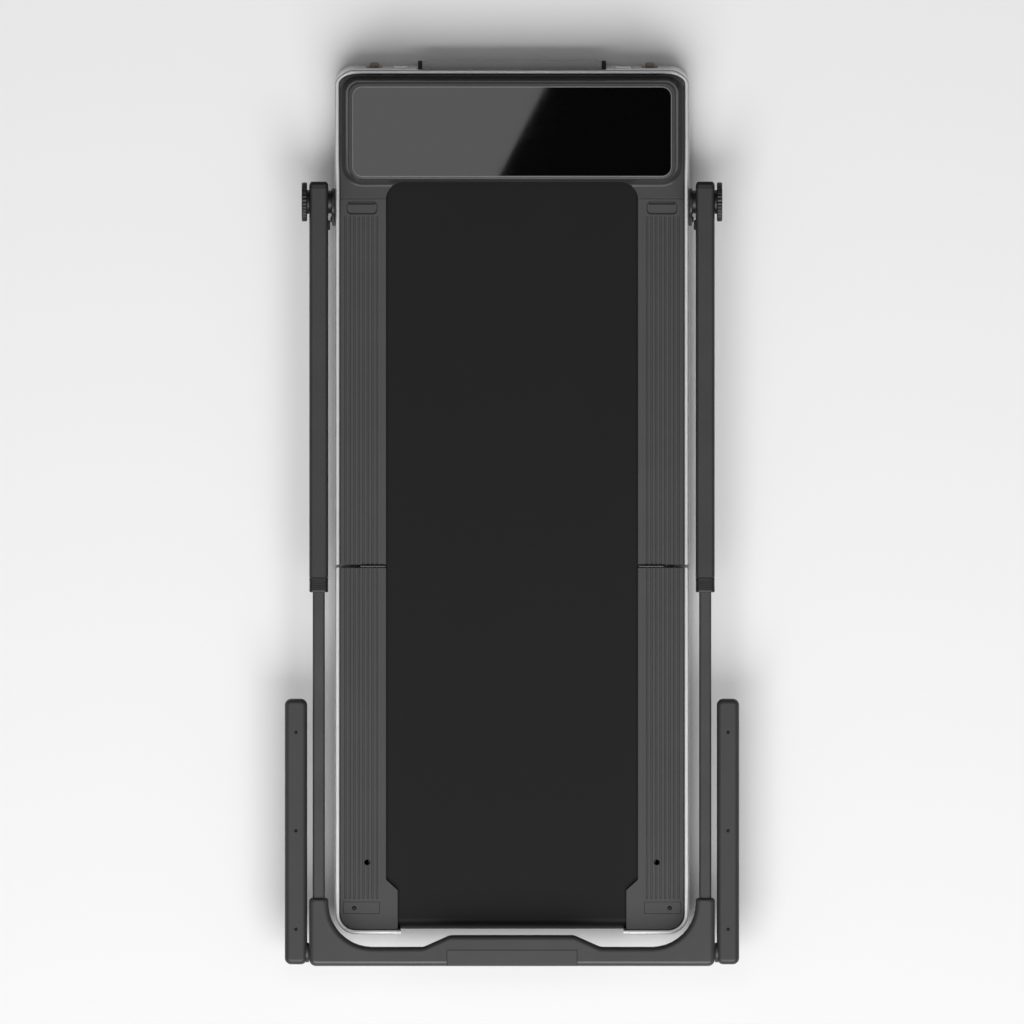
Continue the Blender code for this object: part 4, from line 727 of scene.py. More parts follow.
WINDOW_GLOSS = Finish("tinted acrylic", (0.0022, 0.0022, 0.0025), 0.028)
smear = WINDOW_GLOSS.noise(22, 5, 0.6)
fleck = WINDOW_GLOSS.noise(700, 2)
WINDOW_GLOSS.set("Roughness", 0.020 + smear.between(0.45, 0.80) * 0.012 + fleck.between(0.68, 0.74) * 0.10)
speck = fleck.between(0.70, 0.78)
WINDOW_GLOSS.fade(speck, (0.010, 0.010, 0.010))
plate_levels = edge_levels(WINDOW[0].z, WINDOW[1].z, 0.0005, steps=3)
plate = layered("display_window", window_outline, plate_levels, WINDOW_GLOSS)
fit(plate, "deck_front", "window_gloss", "display_window")
BEZEL_GREY = moulded("grey bezel", (0.17, 0.17, 0.172), 0.33, grain=0.00003)
bezel_levels = [(0.0013, top - 0.0004), (0.0011, top + 0.00025), (0.0007, top + 0.0004)]
bezel_levels += [(0.0001, top + 0.0004), (-0.0003, top + 0.0002), (-0.00038, top - 0.0004)]
bezel = layered("window_bezel", window_outline, bezel_levels, BEZEL_GREY, closed=True)
fit(bezel, "deck_front", "window_gloss")

# ---- handrail tubes ----
# Each upright is an oblong steel tube, powder coated in fine graphite texture. A black cap closes its
# pivot end, and a rubber bumper on its inner face keeps it off the deck's edge.

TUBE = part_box("outer_tube_right")
TUBE_MID = ((TUBE[0].x + TUBE[1].x) / 2, (TUBE[0].z + TUBE[1].z) / 2)
TUBE_SIZE = (TUBE[1].x - TUBE[0].x, TUBE[1].z - TUBE[0].z)
TUBE_CORNER = 0.006


def powder(name, colour, roughness):
    finish = Finish(name, colour, roughness, metallic=0.15)
    orange_peel = finish.noise(1500, 2, 0.5)
    cloud = finish.noise(12, 3)
    scuff = finish.noise(55, 6, 0.75)
    mark = scuff.between(0.66, 0.74)
    finish.set("Roughness", roughness - 0.04 + cloud * 0.08 + mark * 0.12)
    lighter = tuple(1.3 * c + 0.004 for c in colour)
    finish.fade(cloud.between(0.35, 0.75) * 0.4 + mark * 0.35, lighter)
    finish.bump(orange_peel, 0.00005, 0.5)
    return finish


TUBE_PAINT = powder("graphite powder coat", (0.030, 0.030, 0.031), 0.42)
BLACK_PLASTIC = moulded("black moulded plastic", (0.0085, 0.0085, 0.009), 0.46)
RUBBER = moulded("black rubber", (0.008, 0.008, 0.008), 0.72, grain=0.00012, scale=1400)


def tube_outline(width, depth, corner, inset=0.0):
    x, z = TUBE_MID
    across, up = (x - width / 2, x + width / 2), (z - depth / 2, z + depth / 2)
    return panel(across, up, inset, corner - inset, 6)


def hollow_tube(name, size, corner, wall, ends, material):
    """A tube with its cut ends eased, open right through."""
    low, high = ends
    levels = [(0.0004, low), (0.0, low + 0.0005), (0.0, high - 0.0005), (0.0004, high)]
    levels += [(wall, high), (wall, low)]
    return layered(name, lambda inset: tube_outline(*size, corner, inset), levels, material, "Y", True)


def end_cap(name, ends, material):
    """A plug over a tube's end, rounded in both directions."""
    levels = [(0.0, ends[0])]
    for k in range(7):
        t = math.radians(90 * k / 6)
        levels.append((0.0048 * (1 - math.cos(t)), ends[1] - 0.0070 * (1 - math.sin(t))))
    return layered(name, lambda inset: tube_outline(*TUBE_SIZE, TUBE_CORNER, inset), levels, material, "Y")


def bumper_outline(inset):
    height = (TUBE_MID[1] - 0.013, TUBE_MID[1] + 0.013)
    return panel((FOLD + 0.543, FOLD + 0.559), height, inset, 0.003, 4)


CAP_SEAM = TUBE[1].y - 0.0105
seat = TUBE[0].x
bumper_levels = [(0.0012, seat - 0.0032), (0.0004, seat - 0.0026), (0, seat - 0.0018), (0, seat)]
for side, sign in SIDES:
    ends = (TUBE[0].y, CAP_SEAM)
    tube = hollow_tube(f"upright_tube_{side}", TUBE_SIZE, TUBE_CORNER, 0.0022, ends, TUBE_PAINT)
    cap = end_cap(f"upright_end_cap_{side}", (CAP_SEAM + SEAM, TUBE[1].y), BLACK_PLASTIC)
    bumper = layered(f"upright_bumper_{side}", bumper_outline, bumper_levels, RUBBER, along="X")
    fit(tube, "uprights", "tube_paint", f"outer_tube_{side}", sign=sign)
    fit(cap, "uprights", "black_plastic", sign=sign)
    fit(bumper, "uprights", "black_rubber", sign=sign)

# ---- collars ----
# A black nylon collar is pressed into each upright's open end and guides the inner tube. Its sides are
# ribbed for the fingers that pull the height pin.

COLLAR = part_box("tube_collar_right")
COLLAR_REAR, COLLAR_FRONT = COLLAR[0].y, TUBE[0].y - SEAM
COLLAR_SIZE = (COLLAR[1].x - COLLAR[0].x, COLLAR[1].z - COLLAR[0].z)
SPIGOT_PLAY = 0.0050
BORE = (0.0201, 0.0336)
RIBS = 5
RIB_PITCH = 0.0030


def tube_rows(size, corner, levels):
    return [[(x, y, z) for x, z in tube_outline(*size, corner, inset)] for inset, y in levels]


steps = [(0.0018, COLLAR_REAR), (0.0006, COLLAR_REAR + 0.0005), (0.0, COLLAR_REAR + 0.0017)]
for i in range(RIBS):
    y = COLLAR_REAR + 0.0045 + RIB_PITCH * i
    steps += [(0.0, y), (0.0005, y + 0.0005), (0.0005, y + 0.0010), (0.0, y + 0.0015)]
steps += [(0.0, COLLAR_FRONT - 0.0006), (0.0004, COLLAR_FRONT)]
rows = tube_rows(COLLAR_SIZE, TUBE_CORNER, steps)
spigot = (COLLAR_SIZE[0] - SPIGOT_PLAY, COLLAR_SIZE[1] - SPIGOT_PLAY)
rows += tube_rows(spigot, 0.0035, [(0, COLLAR_FRONT), (0, COLLAR[1].y)])
rows += tube_rows(BORE, 0.004, [(0, COLLAR[1].y), (0, COLLAR_REAR + 0.0008), (-0.0006, COLLAR_REAR)])
for side, sign in SIDES:
    collar = stitched(f"collar_{side}", rows, BLACK_PLASTIC, closed=True)
    fit(collar, "uprights", "black_plastic", f"tube_collar_{side}", sign=sign)

# ---- height pins ----
# A sprung pin under each collar, with a knurled black head that's pulled to free the inner tube.

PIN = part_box("height_pin_right")


def spun(name, profile, centre, along, material, sides=48, waves=0, depth=0.0, waved=(), closed=False):
    """A turned piece: profile is (distance along the axis, radius); waved rows get a scalloped rim."""
    rows = []
    for index, (distance, radius) in enumerate(profile):
        row = []
        for k in range(sides):
            t = 2 * math.pi * k / sides
            r = radius - (depth * (0.5 - 0.5 * math.cos(waves * t)) ** 2 if index in waved else 0)
            a, b = r * math.cos(t), r * math.sin(t)
            if along == "X":
                row.append((centre[0] + distance, centre[1] + a, centre[2] + b))
            else:
                row.append((centre[0] + a, centre[1] + b, centre[2] + distance))
        rows.append(row)
    return stitched(name, rows, material, closed)


for side, sign in SIDES:
    centre = (sign * TUBE_MID[0], (PIN[0].y + PIN[1].y) / 2, 0)
    low, head, tip = PIN[0].z, TUBE[0].z - SEAM, PIN[1].z
    profile = [(low, 0.0030), (low + 0.0003, 0.0062), (low + 0.0012, 0.0080), (low + 0.0024, 0.0089)]
    profile += [(head - 0.0016, 0.0089), (head - 0.0006, 0.0084), (head, 0.0076), (head, 0.0040)]
    profile += [(tip - 0.0008, 0.0040), (tip, 0.0032), (tip, 0.0005)]
    pin = spun(f"height_pin_{side}", profile, centre, "Z", BLACK_PLASTIC, 72, 18, 0.0009, (2, 3, 4, 5))
    fit(pin, f"height_pin_{side}", "black_plastic", f"height_pin_{side}")

# ---- inner tubes ----
# The sliding tubes are slimmer oblong steel tubes in a slightly lighter powder coat, with a row of
# punched height holes underneath.

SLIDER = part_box("inner_tube_right")
HOLES = 6
HOLE_PITCH = 0.0895
HOLE_RADIUS = 0.0043
INNER_PAINT = powder("grey powder coat", (0.046, 0.046, 0.048), 0.38)
for side, sign in SIDES:
    size = (SLIDER[1].x - SLIDER[0].x, SLIDER[1].z - SLIDER[0].z)
    slider = hollow_tube(f"inner_tube_{side}", size, 0.004, 0.0018, (SLIDER[0].y, SLIDER[1].y), INNER_PAINT)
    if sign < 0:
        mirror(slider)
    for i in range(HOLES):
        hole = circle((sign * TUBE_MID[0], PIN[0].y + 0.009 - HOLE_PITCH * i), HOLE_RADIUS, 24)
        carve(slider, cutter("height_hole", hole, (SLIDER[0].z - 0.003, SLIDER[0].z + 0.004), "Z"))
    fit(slider, "handrail_top", "tube_paint", f"inner_tube_{side}")

# ---- pivot brackets ----
# A black-coated steel plate bolted on each side of the deck carries a round hub and the stud that the
# upright turns on.

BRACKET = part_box("pivot_bracket_right")
HUB = (FOLD + 0.5884, 0.097)
BRACKET_PAINT = powder("black powder coat", (0.0095, 0.0095, 0.010), 0.40)
BOLT_HEIGHTS = (0.026, 0.050)
bolt = screw_mesh(0.0048, 0.0030)


def bracket_outline(inset):
    rear, front = BRACKET[0].y + inset, BRACKET[1].y - inset
    low, high = BRACKET[0].z + inset, BRACKET[1].z - inset
    return ring([(rear, low, 0.004), (front, low, 0.004), (front, high, 0.020 - inset),
                 (HUB[0] - 0.022 + inset, high, 0.018 - inset), (rear, 0.062 - inset, 0.008)], 8)


for side, sign in SIDES:
    x = BRACKET[0].x
    plate_levels = [(0.0005, x), (0, x + 0.0005), (0, x + 0.0034), (0.0003, x + 0.0040), (0.0009, x + 0.0042)]
    bracket = layered(f"pivot_bracket_{side}", bracket_outline, plate_levels, BRACKET_PAINT, along="X")
    x += 0.0022
    face, stud = TUBE[0].x - SEAM, BRACKET[1].x
    hub = [(x, 0.0205), (x + 0.0024, 0.0205), (x + 0.0028, 0.0199), (x + 0.0030, 0.0182)]
    hub += [(x + 0.0046, 0.0182), (x + 0.0048, 0.0188), (face, 0.0188), (face, 0.006)]
    hub += [(stud - 0.0008, 0.006), (stud, 0.0052), (stud, 0.0005)]
    carve(bracket, spun("hub", hub, (0, *HUB), "X", BRACKET_PAINT, 56), operation="UNION")
    fit(bracket, "deck_front", "bracket_paint", f"pivot_bracket_{side}", sign=sign)
    x = sign * (BRACKET[0].x + 0.0042)
    spots = [(x, y, z) for z in BOLT_HEIGHTS for y in (BRACKET[0].y + 0.010, BRACKET[1].y - 0.010)]
    screws(f"bracket_bolts_{side}", bolt, spots, "deck_front", facing=(sign, 0, 0))

# ---- lock knobs ----
# Round black knobs that clamp the uprights' pivots: a scalloped disc on a short neck, moulded round a
# nut, with a dished face and a raised finger bar.

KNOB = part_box("lock_knob_right")
KNOB_RADIUS = (KNOB[1].z - KNOB[0].z) / 2
KNOB_EDGE = 0.0018


def grip_outline(inset):
    across, up = (HUB[0] - 0.0240, HUB[0] + 0.0240), (HUB[1] - 0.0042, HUB[1] + 0.0042)
    return panel(across, up, inset, 0.0041 - inset, 6)


base, face = KNOB[0].x, KNOB[1].x
disc = base + 0.0035
profile = [(base, 0.0065), (base, 0.0192), (disc - 0.0004, 0.0195), (disc, 0.0205)]
profile.append((disc + 0.0001, KNOB_RADIUS - 0.0022))
turns = [math.radians(90 * k / 4) for k in range(5)]
for t in turns:
    profile.append((disc + KNOB_EDGE * (1 - math.cos(t)), KNOB_RADIUS - KNOB_EDGE * (1 - math.sin(t))))
for t in turns:
    profile.append((face - KNOB_EDGE * (1 - math.sin(t)), KNOB_RADIUS - KNOB_EDGE * (1 - math.cos(t))))
profile += [(face - 0.0003, KNOB_RADIUS - 0.0042), (face - 0.0016, KNOB_RADIUS - 0.0062)]
profile += [(face - 0.0022, 0.012), (face - 0.0022, 0.0008)]
grip_levels = [(0, face - 0.0030), (0, face - 0.0008), (0.0003, face - 0.0003), (0.0008, face)]
for side, sign in SIDES:
    knob = spun(f"lock_knob_{side}", profile, (0, *HUB), "X", BLACK_PLASTIC, 180, 30, 0.0011, range(5, 15))
    grip = layered("finger_bar", grip_outline, grip_levels, BLACK_PLASTIC, along="X")
    carve(knob, grip, operation="UNION")
    fit(knob, f"lock_knob_{side}", "black_plastic", f"lock_knob_{side}", sign=sign)

# ---- handlebar ----
# The bar across the handrail is a satin graphite moulding in two shells. It swells in the middle round
# the controls and turns forward at each end into a bracket that grips an inner tube.

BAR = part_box("handlebar")
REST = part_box("device_rest")
BAR_FRONT = FOLD - 0.615
BAR_LUGS = BAR[1].y
LUG_IN = 0.2967
ARM_PIVOT = FOLD - 0.624
BAR_PLASTIC = moulded("satin bar plastic", (0.044, 0.044, 0.0455), 0.36, grain=0.000025)


def bar_outline(inset):
    end, rear = BAR[1].x - inset, BAR[0].y + inset
    lugs = BAR_LUGS - 0.6 * inset
    right = [(0.143, BAR_FRONT - inset, 0.020 + inset), (LUG_IN + inset, BAR_FRONT - inset, 0.071 + inset),
             (LUG_IN + inset, lugs, 0.005), (end, lugs, 0.005), (end, rear, 0.011 - inset)]
    left = [(-x, y, radius) for x, y, radius in reversed(right)]
    bulge = FOLD - 0.596 - inset
    return ring([(-0.100, bulge, 0.020), (0.100, bulge, 0.020), *right, *left], 10)


def seam_levels(height, lip, floor, depth):
    """A groove where two shells meet: half its width at the lip and on its floor, and its depth."""
    return [(0, height - lip), (depth, height - floor), (depth, height + floor), (0, height + lip)]


bar_levels = edge_levels(BAR[0].z, BAR[1].z, 0.0085, 0.0070, steps=6)
seam = (BAR[0].z + BAR[1].z) / 2
bar_levels[7:7] = seam_levels(seam, 0.0007, 0.0003, 0.0004)
bar = layered("handlebar", bar_outline, bar_levels, BAR_PLASTIC)
for side, sign in SIDES:
    socket = [(sign * a, b) for a, b in tube_outline(*BORE, 0.004)]
    carve(bar, cutter("tube_socket", socket, (BAR_LUGS - 0.039, BAR_LUGS + 0.003), "Y"))
    eye = circle((ARM_PIVOT, HUB[1]), 0.0053, 24)
    carve(bar, cutter("arm_eye", eye, (sign * 0.3092, sign * 0.3400), "X"))
    rear, front = BAR[0].y - 0.002, BAR_FRONT + 0.05
    groove = [(sign * x, y) for x, y in ((0.3195, rear), (0.3201, rear), (0.3201, front), (0.3195, front))]
    carve(bar, cutter("end_seam", groove, (BAR[1].z - 0.0007, BAR[1].z + 0.002), "Z"))
rear, front, low, high = BAR[0].y - 0.004, FOLD - 0.6192, BAR[1].z - 0.0045, BAR[1].z + 0.01
pocket = [(rear, low), (front, low), (front, high), (rear, high)]
carve(bar, cutter("rest_pocket", pocket, (REST[0].x - 0.0005, REST[1].x + 0.0005), "X"))
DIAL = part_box("speed_dial")
DIAL_AT = ((DIAL[0].x + DIAL[1].x) / 2, (DIAL[0].y + DIAL[1].y) / 2)
carve(bar, cutter("dial_eye", arc(DIAL_AT, 0.0033, 0, 340, 17), (BAR[0].z - 0.001, BAR[0].z + 0.0085), "Z"))
fit(bar, "handrail_top", "hood_plastic", "handlebar")

# ---- device rest ----
# A thin lid, flush in the bar's upper face, hinged along its outer edge; it swings out and holds a
# phone against two shallow pad seats on its inner side.

def rest_section(inset):
    spine, low, high = REST[0].y + inset, REST[0].z + inset, REST[1].z - inset
    radius = (high - low) / 2
    back = arc((spine + radius, low + radius), radius, 90, 270, 8)
    free = REST[1].y - inset
    return [(free, high - 0.0005), (free - 0.0005, high), *back, (free - 0.0005, low), (free, low + 0.0005)]


rest_levels = [(0.0004, REST[0].x), (0, REST[0].x + 0.0005), (0, REST[1].x - 0.0005), (0.0004, REST[1].x)]
rest = layered("device_rest", rest_section, rest_levels, RAIL_PLASTIC, along="X")
for x in (-0.072, 0.072):
    pad = rounded((x - 0.014, x + 0.014), (REST[0].y + 0.006, REST[1].y - 0.006), 0.002, 4)
    carve(rest, cutter("pad_seat", pad, (REST[0].z - 0.001, REST[0].z + 0.0006), "Z"))
fit(rest, "device_rest", "rail_plastic", "device_rest")

# ---- speed dial ----
# A black dial on the face that the walker sees when the handrail stands up: a fluted rim, a dished cap
# and one raised pointer.

low, high = DIAL[0].z, BAR[0].z - 0.0003
rim_radius = (DIAL[1].x - DIAL[0].x) / 2
profile = [(low + 0.0014, 0.0008), (low + 0.0014, 0.0085), (low + 0.0004, 0.0125), (low, 0.0140)]
profile += [(low + 0.0002, rim_radius - 0.0012), (low + 0.0010, rim_radius - 0.0003)]
profile += [(low + 0.0020, rim_radius), (high - 0.0010, rim_radius), (high - 0.0002, rim_radius - 0.0006)]
profile += [(high, rim_radius - 0.0016), (high, 0.0030), (DIAL[1].z, 0.0030), (DIAL[1].z, 0.0005)]
dial = spun("speed_dial", profile, (*DIAL_AT, 0), "Z", BLACK_PLASTIC, 160, 40, 0.0007, (4, 5, 6, 7, 8))
across, out = (DIAL_AT[0] - 0.0008, DIAL_AT[0] + 0.0008), (DIAL_AT[1] + 0.0060, DIAL_AT[1] + 0.0125)
pointer = rounded(across, out, 0.0007, 4)
carve(dial, cutter("pointer", pointer, (low + 0.0002, low + 0.0030), "Z"), operation="UNION")
fit(dial, "speed_dial", "black_plastic", "speed_dial")

# ---- armrests ----
# Two moulded arms with well-rounded edges, folded along the uprights. Each is a two-shell moulding
# closed by three screws on its upper face, and turns on a steel pin in the end of the bar.

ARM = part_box("armrest_right")
ARM_IN = ARM[1].x - 0.036


def arm_outline(inset):
    return panel((ARM_IN, ARM[1].x), (ARM[0].y, ARM[1].y), inset, 0.0105 - inset, 10)


ARM_PLASTIC = moulded("armrest plastic", (0.030, 0.030, 0.0311), 0.47)
arm_levels = edge_levels(ARM[0].z, ARM[1].z, 0.0085, 0.0085, steps=7)
middle = (ARM[0].z + ARM[1].z) / 2
arm_levels[8:8] = seam_levels(middle, 0.0008, 0.0004, 0.0005)
tiny_screw = screw_mesh(0.0021, 0.0010)
for side, sign in SIDES:
    arm = layered(f"armrest_{side}", arm_outline, arm_levels, ARM_PLASTIC)
    spots = []
    for v in (0.268, 0.427, 0.586):
        x = (ARM_IN + ARM[1].x) / 2
        carve(arm, hole_tool(x, FOLD - v, 0.0026, ARM[1].z - 0.0030, ARM[1].z, 20, flare=0.0003))
        spots.append((sign * x, FOLD - v, ARM[1].z - 0.0030))
    boss = [(ARM[0].x, 0.0005), (ARM[0].x, 0.0042), (ARM[0].x + 0.0008, 0.0050), (0.3278, 0.0050)]
    boss += [(0.3278, 0.0150), (0.3286, 0.0158), (0.3300, 0.0160), (0.3330, 0.0160), (0.3330, 0.0005)]
    carve(arm, spun("arm_boss", boss, (0, ARM_PIVOT, HUB[1]), "X", ARM_PLASTIC), operation="UNION")
    fit(arm, f"armrest_{side}", "rail_plastic", f"armrest_{side}", sign=sign)
    screws(f"armrest_screws_{side}", tiny_screw, spots, f"armrest_{side}")

# ---- stand-up foot ----
# A ribbed grey block on the leaning front wall, with a black rubber pad at each end, that the folded
# treadmill stands on.

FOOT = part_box("standing_foot")
PAD = 0.0070
FOOT_RIBS = 6
FOOT_PITCH = 0.0075


def wall_at(z):
    return FRONT_WALL - WALL_LEAN * (z - DECK_BOTTOM) / (RIM - DECK_BOTTOM)


def foot_section(face, inset):
    low, high = FOOT[0].z + inset, FOOT[1].z - inset
    foot = [(face - 0.0012, low), (face - 0.0003, low + 0.0004), (face, low + 0.0013)]
    head = [(face, high - 0.0030), (face - 0.0009, high - 0.0009), (face - 0.0030, high)]
    return foot + head + [(wall_at(high) + SEAM, high), (wall_at(low) + SEAM, low)]


body_end = FOOT[1].x - PAD
rows = [[(x, y, z) for y, z in foot_section(FOOT[1].y - 0.0004, 0.0003)] for x in (-body_end, body_end)]
# Pale grey plastic, made lighter still than its own tone so the block reads bright in the hood's shadow:
# partly the block's own colour, partly painted light.
PALE_FOOT_PLASTIC_WITH_PAINTED_LIGHT = moulded("pale foot plastic with painted light", (0.32, 0.32, 0.325), 0.45)
block = stitched("stand_up_foot", rows, PALE_FOOT_PLASTIC_WITH_PAINTED_LIGHT)
for i in range(FOOT_RIBS):
    z = 0.0155 + FOOT_PITCH * i
    slot = rounded((-body_end + 0.006, body_end - 0.006), (z - 0.0011, z + 0.0011), 0.001, 4)
    carve(block, cutter("rib_slot", slot, (FOOT[1].y - 0.0014, FOOT[1].y + 0.002), "Y"))
fit(block, "deck_front", "rail_plastic", "standing_foot")
start, end = body_end + 0.0002, FOOT[1].x
stations = [(start, 0, 0), (end - 0.0014, 0, 0), (end - 0.0003, 0.0006, 0.0004), (end, 0.0016, 0.0012)]
rows = [[(x, y, z) for y, z in foot_section(FOOT[1].y - drop, inset)] for x, drop, inset in stations]
for side, sign in SIDES:
    fit(stitched(f"foot_pad_{side}", rows, RUBBER), "deck_front", "black_rubber", sign=sign)

# ---- mains inlet and switch ----
# A black appliance inlet with three brass pins, and a black rocker switch in the wall's other end.

BRASS = Finish("plated brass", (0.62, 0.47, 0.22), 0.28, metallic=1.0)
BRASS.set("Roughness", 0.22 + BRASS.noise(600, 3) * 0.16)
face = INLET[1].y
mid = ((INLET[0].x + INLET[1].x) / 2, (INLET[0].z + INLET[1].z) / 2)


def add_block(bm, size, centre):
    made = bmesh.ops.create_cube(bm, size=1)["verts"]
    bmesh.ops.scale(bm, vec=size, verts=made)
    bmesh.ops.translate(bm, vec=centre, verts=made)


inlet_levels = [(0.0, INLET[0].y), (0.0, face - 0.0007), (0.0002, face - 0.0003), (0.0007, face)]
inlet = layered("mains_inlet", lambda inset: inset_box(INLET, inset, 0.0022, 5, "xz"),
                inlet_levels, BLACK_PLASTIC, along="Y")
corners = [(-0.009, -0.007), (0.009, -0.007), (0.009, 0.003)]
corners += [(0.0055, 0.007), (-0.0055, 0.007), (-0.009, 0.003)]
mouth = ring([(mid[0] + x, mid[1] + z, 0.001) for x, z in corners], 4)
carve(inlet, cutter("inlet_mouth", mouth, (face - 0.019, face + 0.002), "Y"))
fit(inlet, "deck_front", "black_plastic", "power_inlet")
pins = bmesh.new()
for x, z in ((-0.0052, -0.0012), (0.0, 0.0014), (0.0052, -0.0012)):
    add_block(pins, (0.0016, 0.0150, 0.0034), (mid[0] + x, face - 0.0125, mid[1] + z))
fit(soften(shaded("inlet_pins", pins, BRASS), 0.0003), "deck_front", "machined_steel")

rocker_mid = ((SWITCH[0].y + SWITCH[1].y) / 2, (SWITCH[0].z + SWITCH[1].z) / 2)
ROCKER_RADIUS = (SWITCH[1].z - SWITCH[0].z) / 2
DISH = 1.18  # the dished face's radius over the drum's
section = arc(rocker_mid, ROCKER_RADIUS, 48, 312, 30)
dish_centre = (rocker_mid[0] + 1.6 * ROCKER_RADIUS, rocker_mid[1])
span = math.degrees(math.asin(math.sin(math.radians(48)) * ROCKER_RADIUS / (ROCKER_RADIUS * DISH)))
section += arc(dish_centre, ROCKER_RADIUS * DISH, 180 + span, 180 - span, 12)


def rocker_outline(inset):
    share = 1 - inset / ROCKER_RADIUS
    y, z = rocker_mid
    return [(y + (a - y) * share, z + (b - z) * share) for a, b in section]


low, high = SWITCH[0].x, SWITCH[1].x
rocker_levels = [(0.0006, low), (0.0, low + 0.0006), (0.0, high - 0.0006), (0.0006, high)]
rocker = layered("rocker_switch", rocker_outline, rocker_levels, BLACK_PLASTIC, along="X")
fit(rocker, "power_switch", "black_plastic", "power_switch")

# ---- transport wheels ----
# Small moulded wheels with a brown polyurethane tread, let into the foot of the front wall.

TREAD = moulded("brown wheel tread", (0.19, 0.125, 0.085), 0.42, grain=0.00006, scale=1800)
half, radius = (WHEEL[1].x - WHEEL[0].x) / 2, (WHEEL[1].z - WHEEL[0].z) / 2
hub = [(half - 0.0012, 0.0043), (half - 0.0012, 0.0075), (half - 0.0003, 0.0080), (half, 0.0085)]
hub += [(half, 0.0098), (half - 0.0003, 0.0102), (half - 0.0020, 0.0108), (half - 0.0020, radius - 0.0036)]
tyre = [(half - 0.0006, radius - 0.0030), (half, radius - 0.0024), (half - 0.0008, radius - 0.0008)]
right = hub + tyre + [(half - 0.0026, radius)]
profile = right + [(-distance, r) for distance, r in reversed(right)]
for side, sign in SIDES:
    centre = (WHEEL[0] + WHEEL[1]) / 2
    centre.x *= sign
    wheel = spun(f"transport_wheel_{side}", profile, centre, "X", TREAD, 56, closed=True)
    fit(wheel, f"transport_wheel_{side}", "wheel_tread", f"transport_wheel_{side}")

# ---- underside ----
# Each half is closed by a pressed steel sheet, black coated, stiffened by long beads and held by screws.
# Cross-ribbed rubber runners under the edges carry the weight.

BEADS = (-0.165, -0.100, -0.035, 0.035, 0.100, 0.165)
BEAD_HALF = 0.009
cover_screw = screw_mesh(0.0042, 0.0018)
for half in ("front", "rear"):
    low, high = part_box(f"bottom_cover_{half}")
    bend = 0.0008 if half == "front" else 0.020

    def sheet_outline(inset):
        rear = bend if half == "rear" else 0.0008
        return ring([(low.x + inset, low.y + inset, rear), (high.x - inset, low.y + inset, rear),
                     (high.x - inset, high.y - inset, 0.0008), (low.x + inset, high.y - inset, 0.0008)], 6)

    sheet_levels = edge_levels(low.z, high.z, 0.0003, 0.0006, steps=2)
    sheet = layered(f"bottom_sheet_{half}", sheet_outline, sheet_levels, BRACKET_PAINT)
    levels = [(-0.0008, low.z - 0.0006), (0, low.z - 0.0001)]
    levels += [(0.0016, low.z + 0.0011), (0.0028, low.z + 0.0014)]
    length = (low.y + 0.05, high.y - 0.09)
    for x in BEADS:
        across = (x - BEAD_HALF, x + BEAD_HALF)
        bead = layered("bead", lambda inset: panel(across, length, inset, 0.0088 - inset, 6), levels, None)
        carve(sheet, bead)
    fit(sheet, f"deck_{half}", "bracket_paint", f"bottom_cover_{half}")
    rows = [low.y + 0.03 + (high.y - low.y - 0.06) * k / 4 for k in range(5)]
    spots = [(sign * 0.268, y, low.z) for _, sign in SIDES for y in rows]
    spots += [(x, y, low.z) for x in (-0.13, 0.13) for y in (low.y + 0.022, high.y - 0.040)]
    screws(f"bottom_screws_{half}", cover_screw, spots, f"deck_{half}", facing=(0, 0, -1))
    for side, sign in SIDES:
        node = f"floor_runner_{half}_{side}"
        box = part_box(node)
        (x0, y0, z0), (x1, y1, z1) = box
        runner = layered(node, lambda inset: inset_box(box, inset, 0.0055, 6),
                         edge_levels(z0, z1, 0.0, 0.0012, steps=3), RUBBER)
        bars = bmesh.new()
        count = int((y1 - y0 - 0.02) / 0.012)
        for i in range(count + 1):
            y = y0 + 0.010 + (y1 - y0 - 0.020) * i / count
            add_block(bars, (x1 - x0 + 0.002, 0.0028, 0.0026), ((x0 + x1) / 2, y, z0))
        carve(runner, shaded("runner_grooves", bars, None))
        fit(runner, f"deck_{half}", "black_rubber", node)

# ---- frames, rollers and fold hinges ----
# The working parts under the covers stay as they are built: black welded frames, turned steel rollers
# and axles, zinc-plated hinge leaves and pins, and the fibre running boards.


def dressed(nodes, finish):
    """Gives carried-over nodes their finish."""
    for node in nodes:
        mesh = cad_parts[node].data
        mesh.materials.clear()
        mesh.materials.append(finish.material)


STEEL = Finish("turned steel", (0.42, 0.42, 0.43), 0.32, metallic=1.0)
turned = STEEL.noise(40, 3, 0.6, stretch=(40, 1, 1))
stain = STEEL.noise(35, 4)
STEEL.set("Roughness", 0.24 + turned * 0.14 + stain * 0.10)
STEEL.fade(stain.between(0.50, 0.75) * 0.5, (0.30, 0.295, 0.29))
STEEL.bump(turned, 0.00005, 0.5)
dressed(["front_roller", "rear_roller", "front_axle", "rear_axle", "motor_rotor"], STEEL)

ZINC = Finish("dark zinc plate", (0.06, 0.06, 0.062), 0.36, metallic=0.9)
spangle = ZINC.noise(260, 4)
ZINC.set("Roughness", 0.28 + spangle * 0.20)
ZINC.bump(spangle, 0.00004, 0.4)
dressed([f"hinge_{what}_{side}" for what in ("leaf_front", "leaf_rear", "pin") for side, _ in SIDES], ZINC)
dressed(["frame_front", "frame_rear"], BRACKET_PAINT)

BOARD = Finish("slip-faced fibreboard", (0.05, 0.032, 0.02), 0.5)
fibre = BOARD.noise(120, 5, 0.7, stretch=(1, 0.2, 1))
BOARD.set("Roughness", 0.42 + fibre * 0.2)
BOARD.set("Base Color", BOARD.blend(fibre, (0.040, 0.026, 0.017), (0.085, 0.058, 0.036)))
BOARD.bump(fibre, 0.0001, 0.5)
dressed(["deck_board_front", "deck_board_rear"], BOARD)

# ---- motor bay ----
# Under the hood: an enamelled motor, its finned cast controller, the drive belt and the display board.

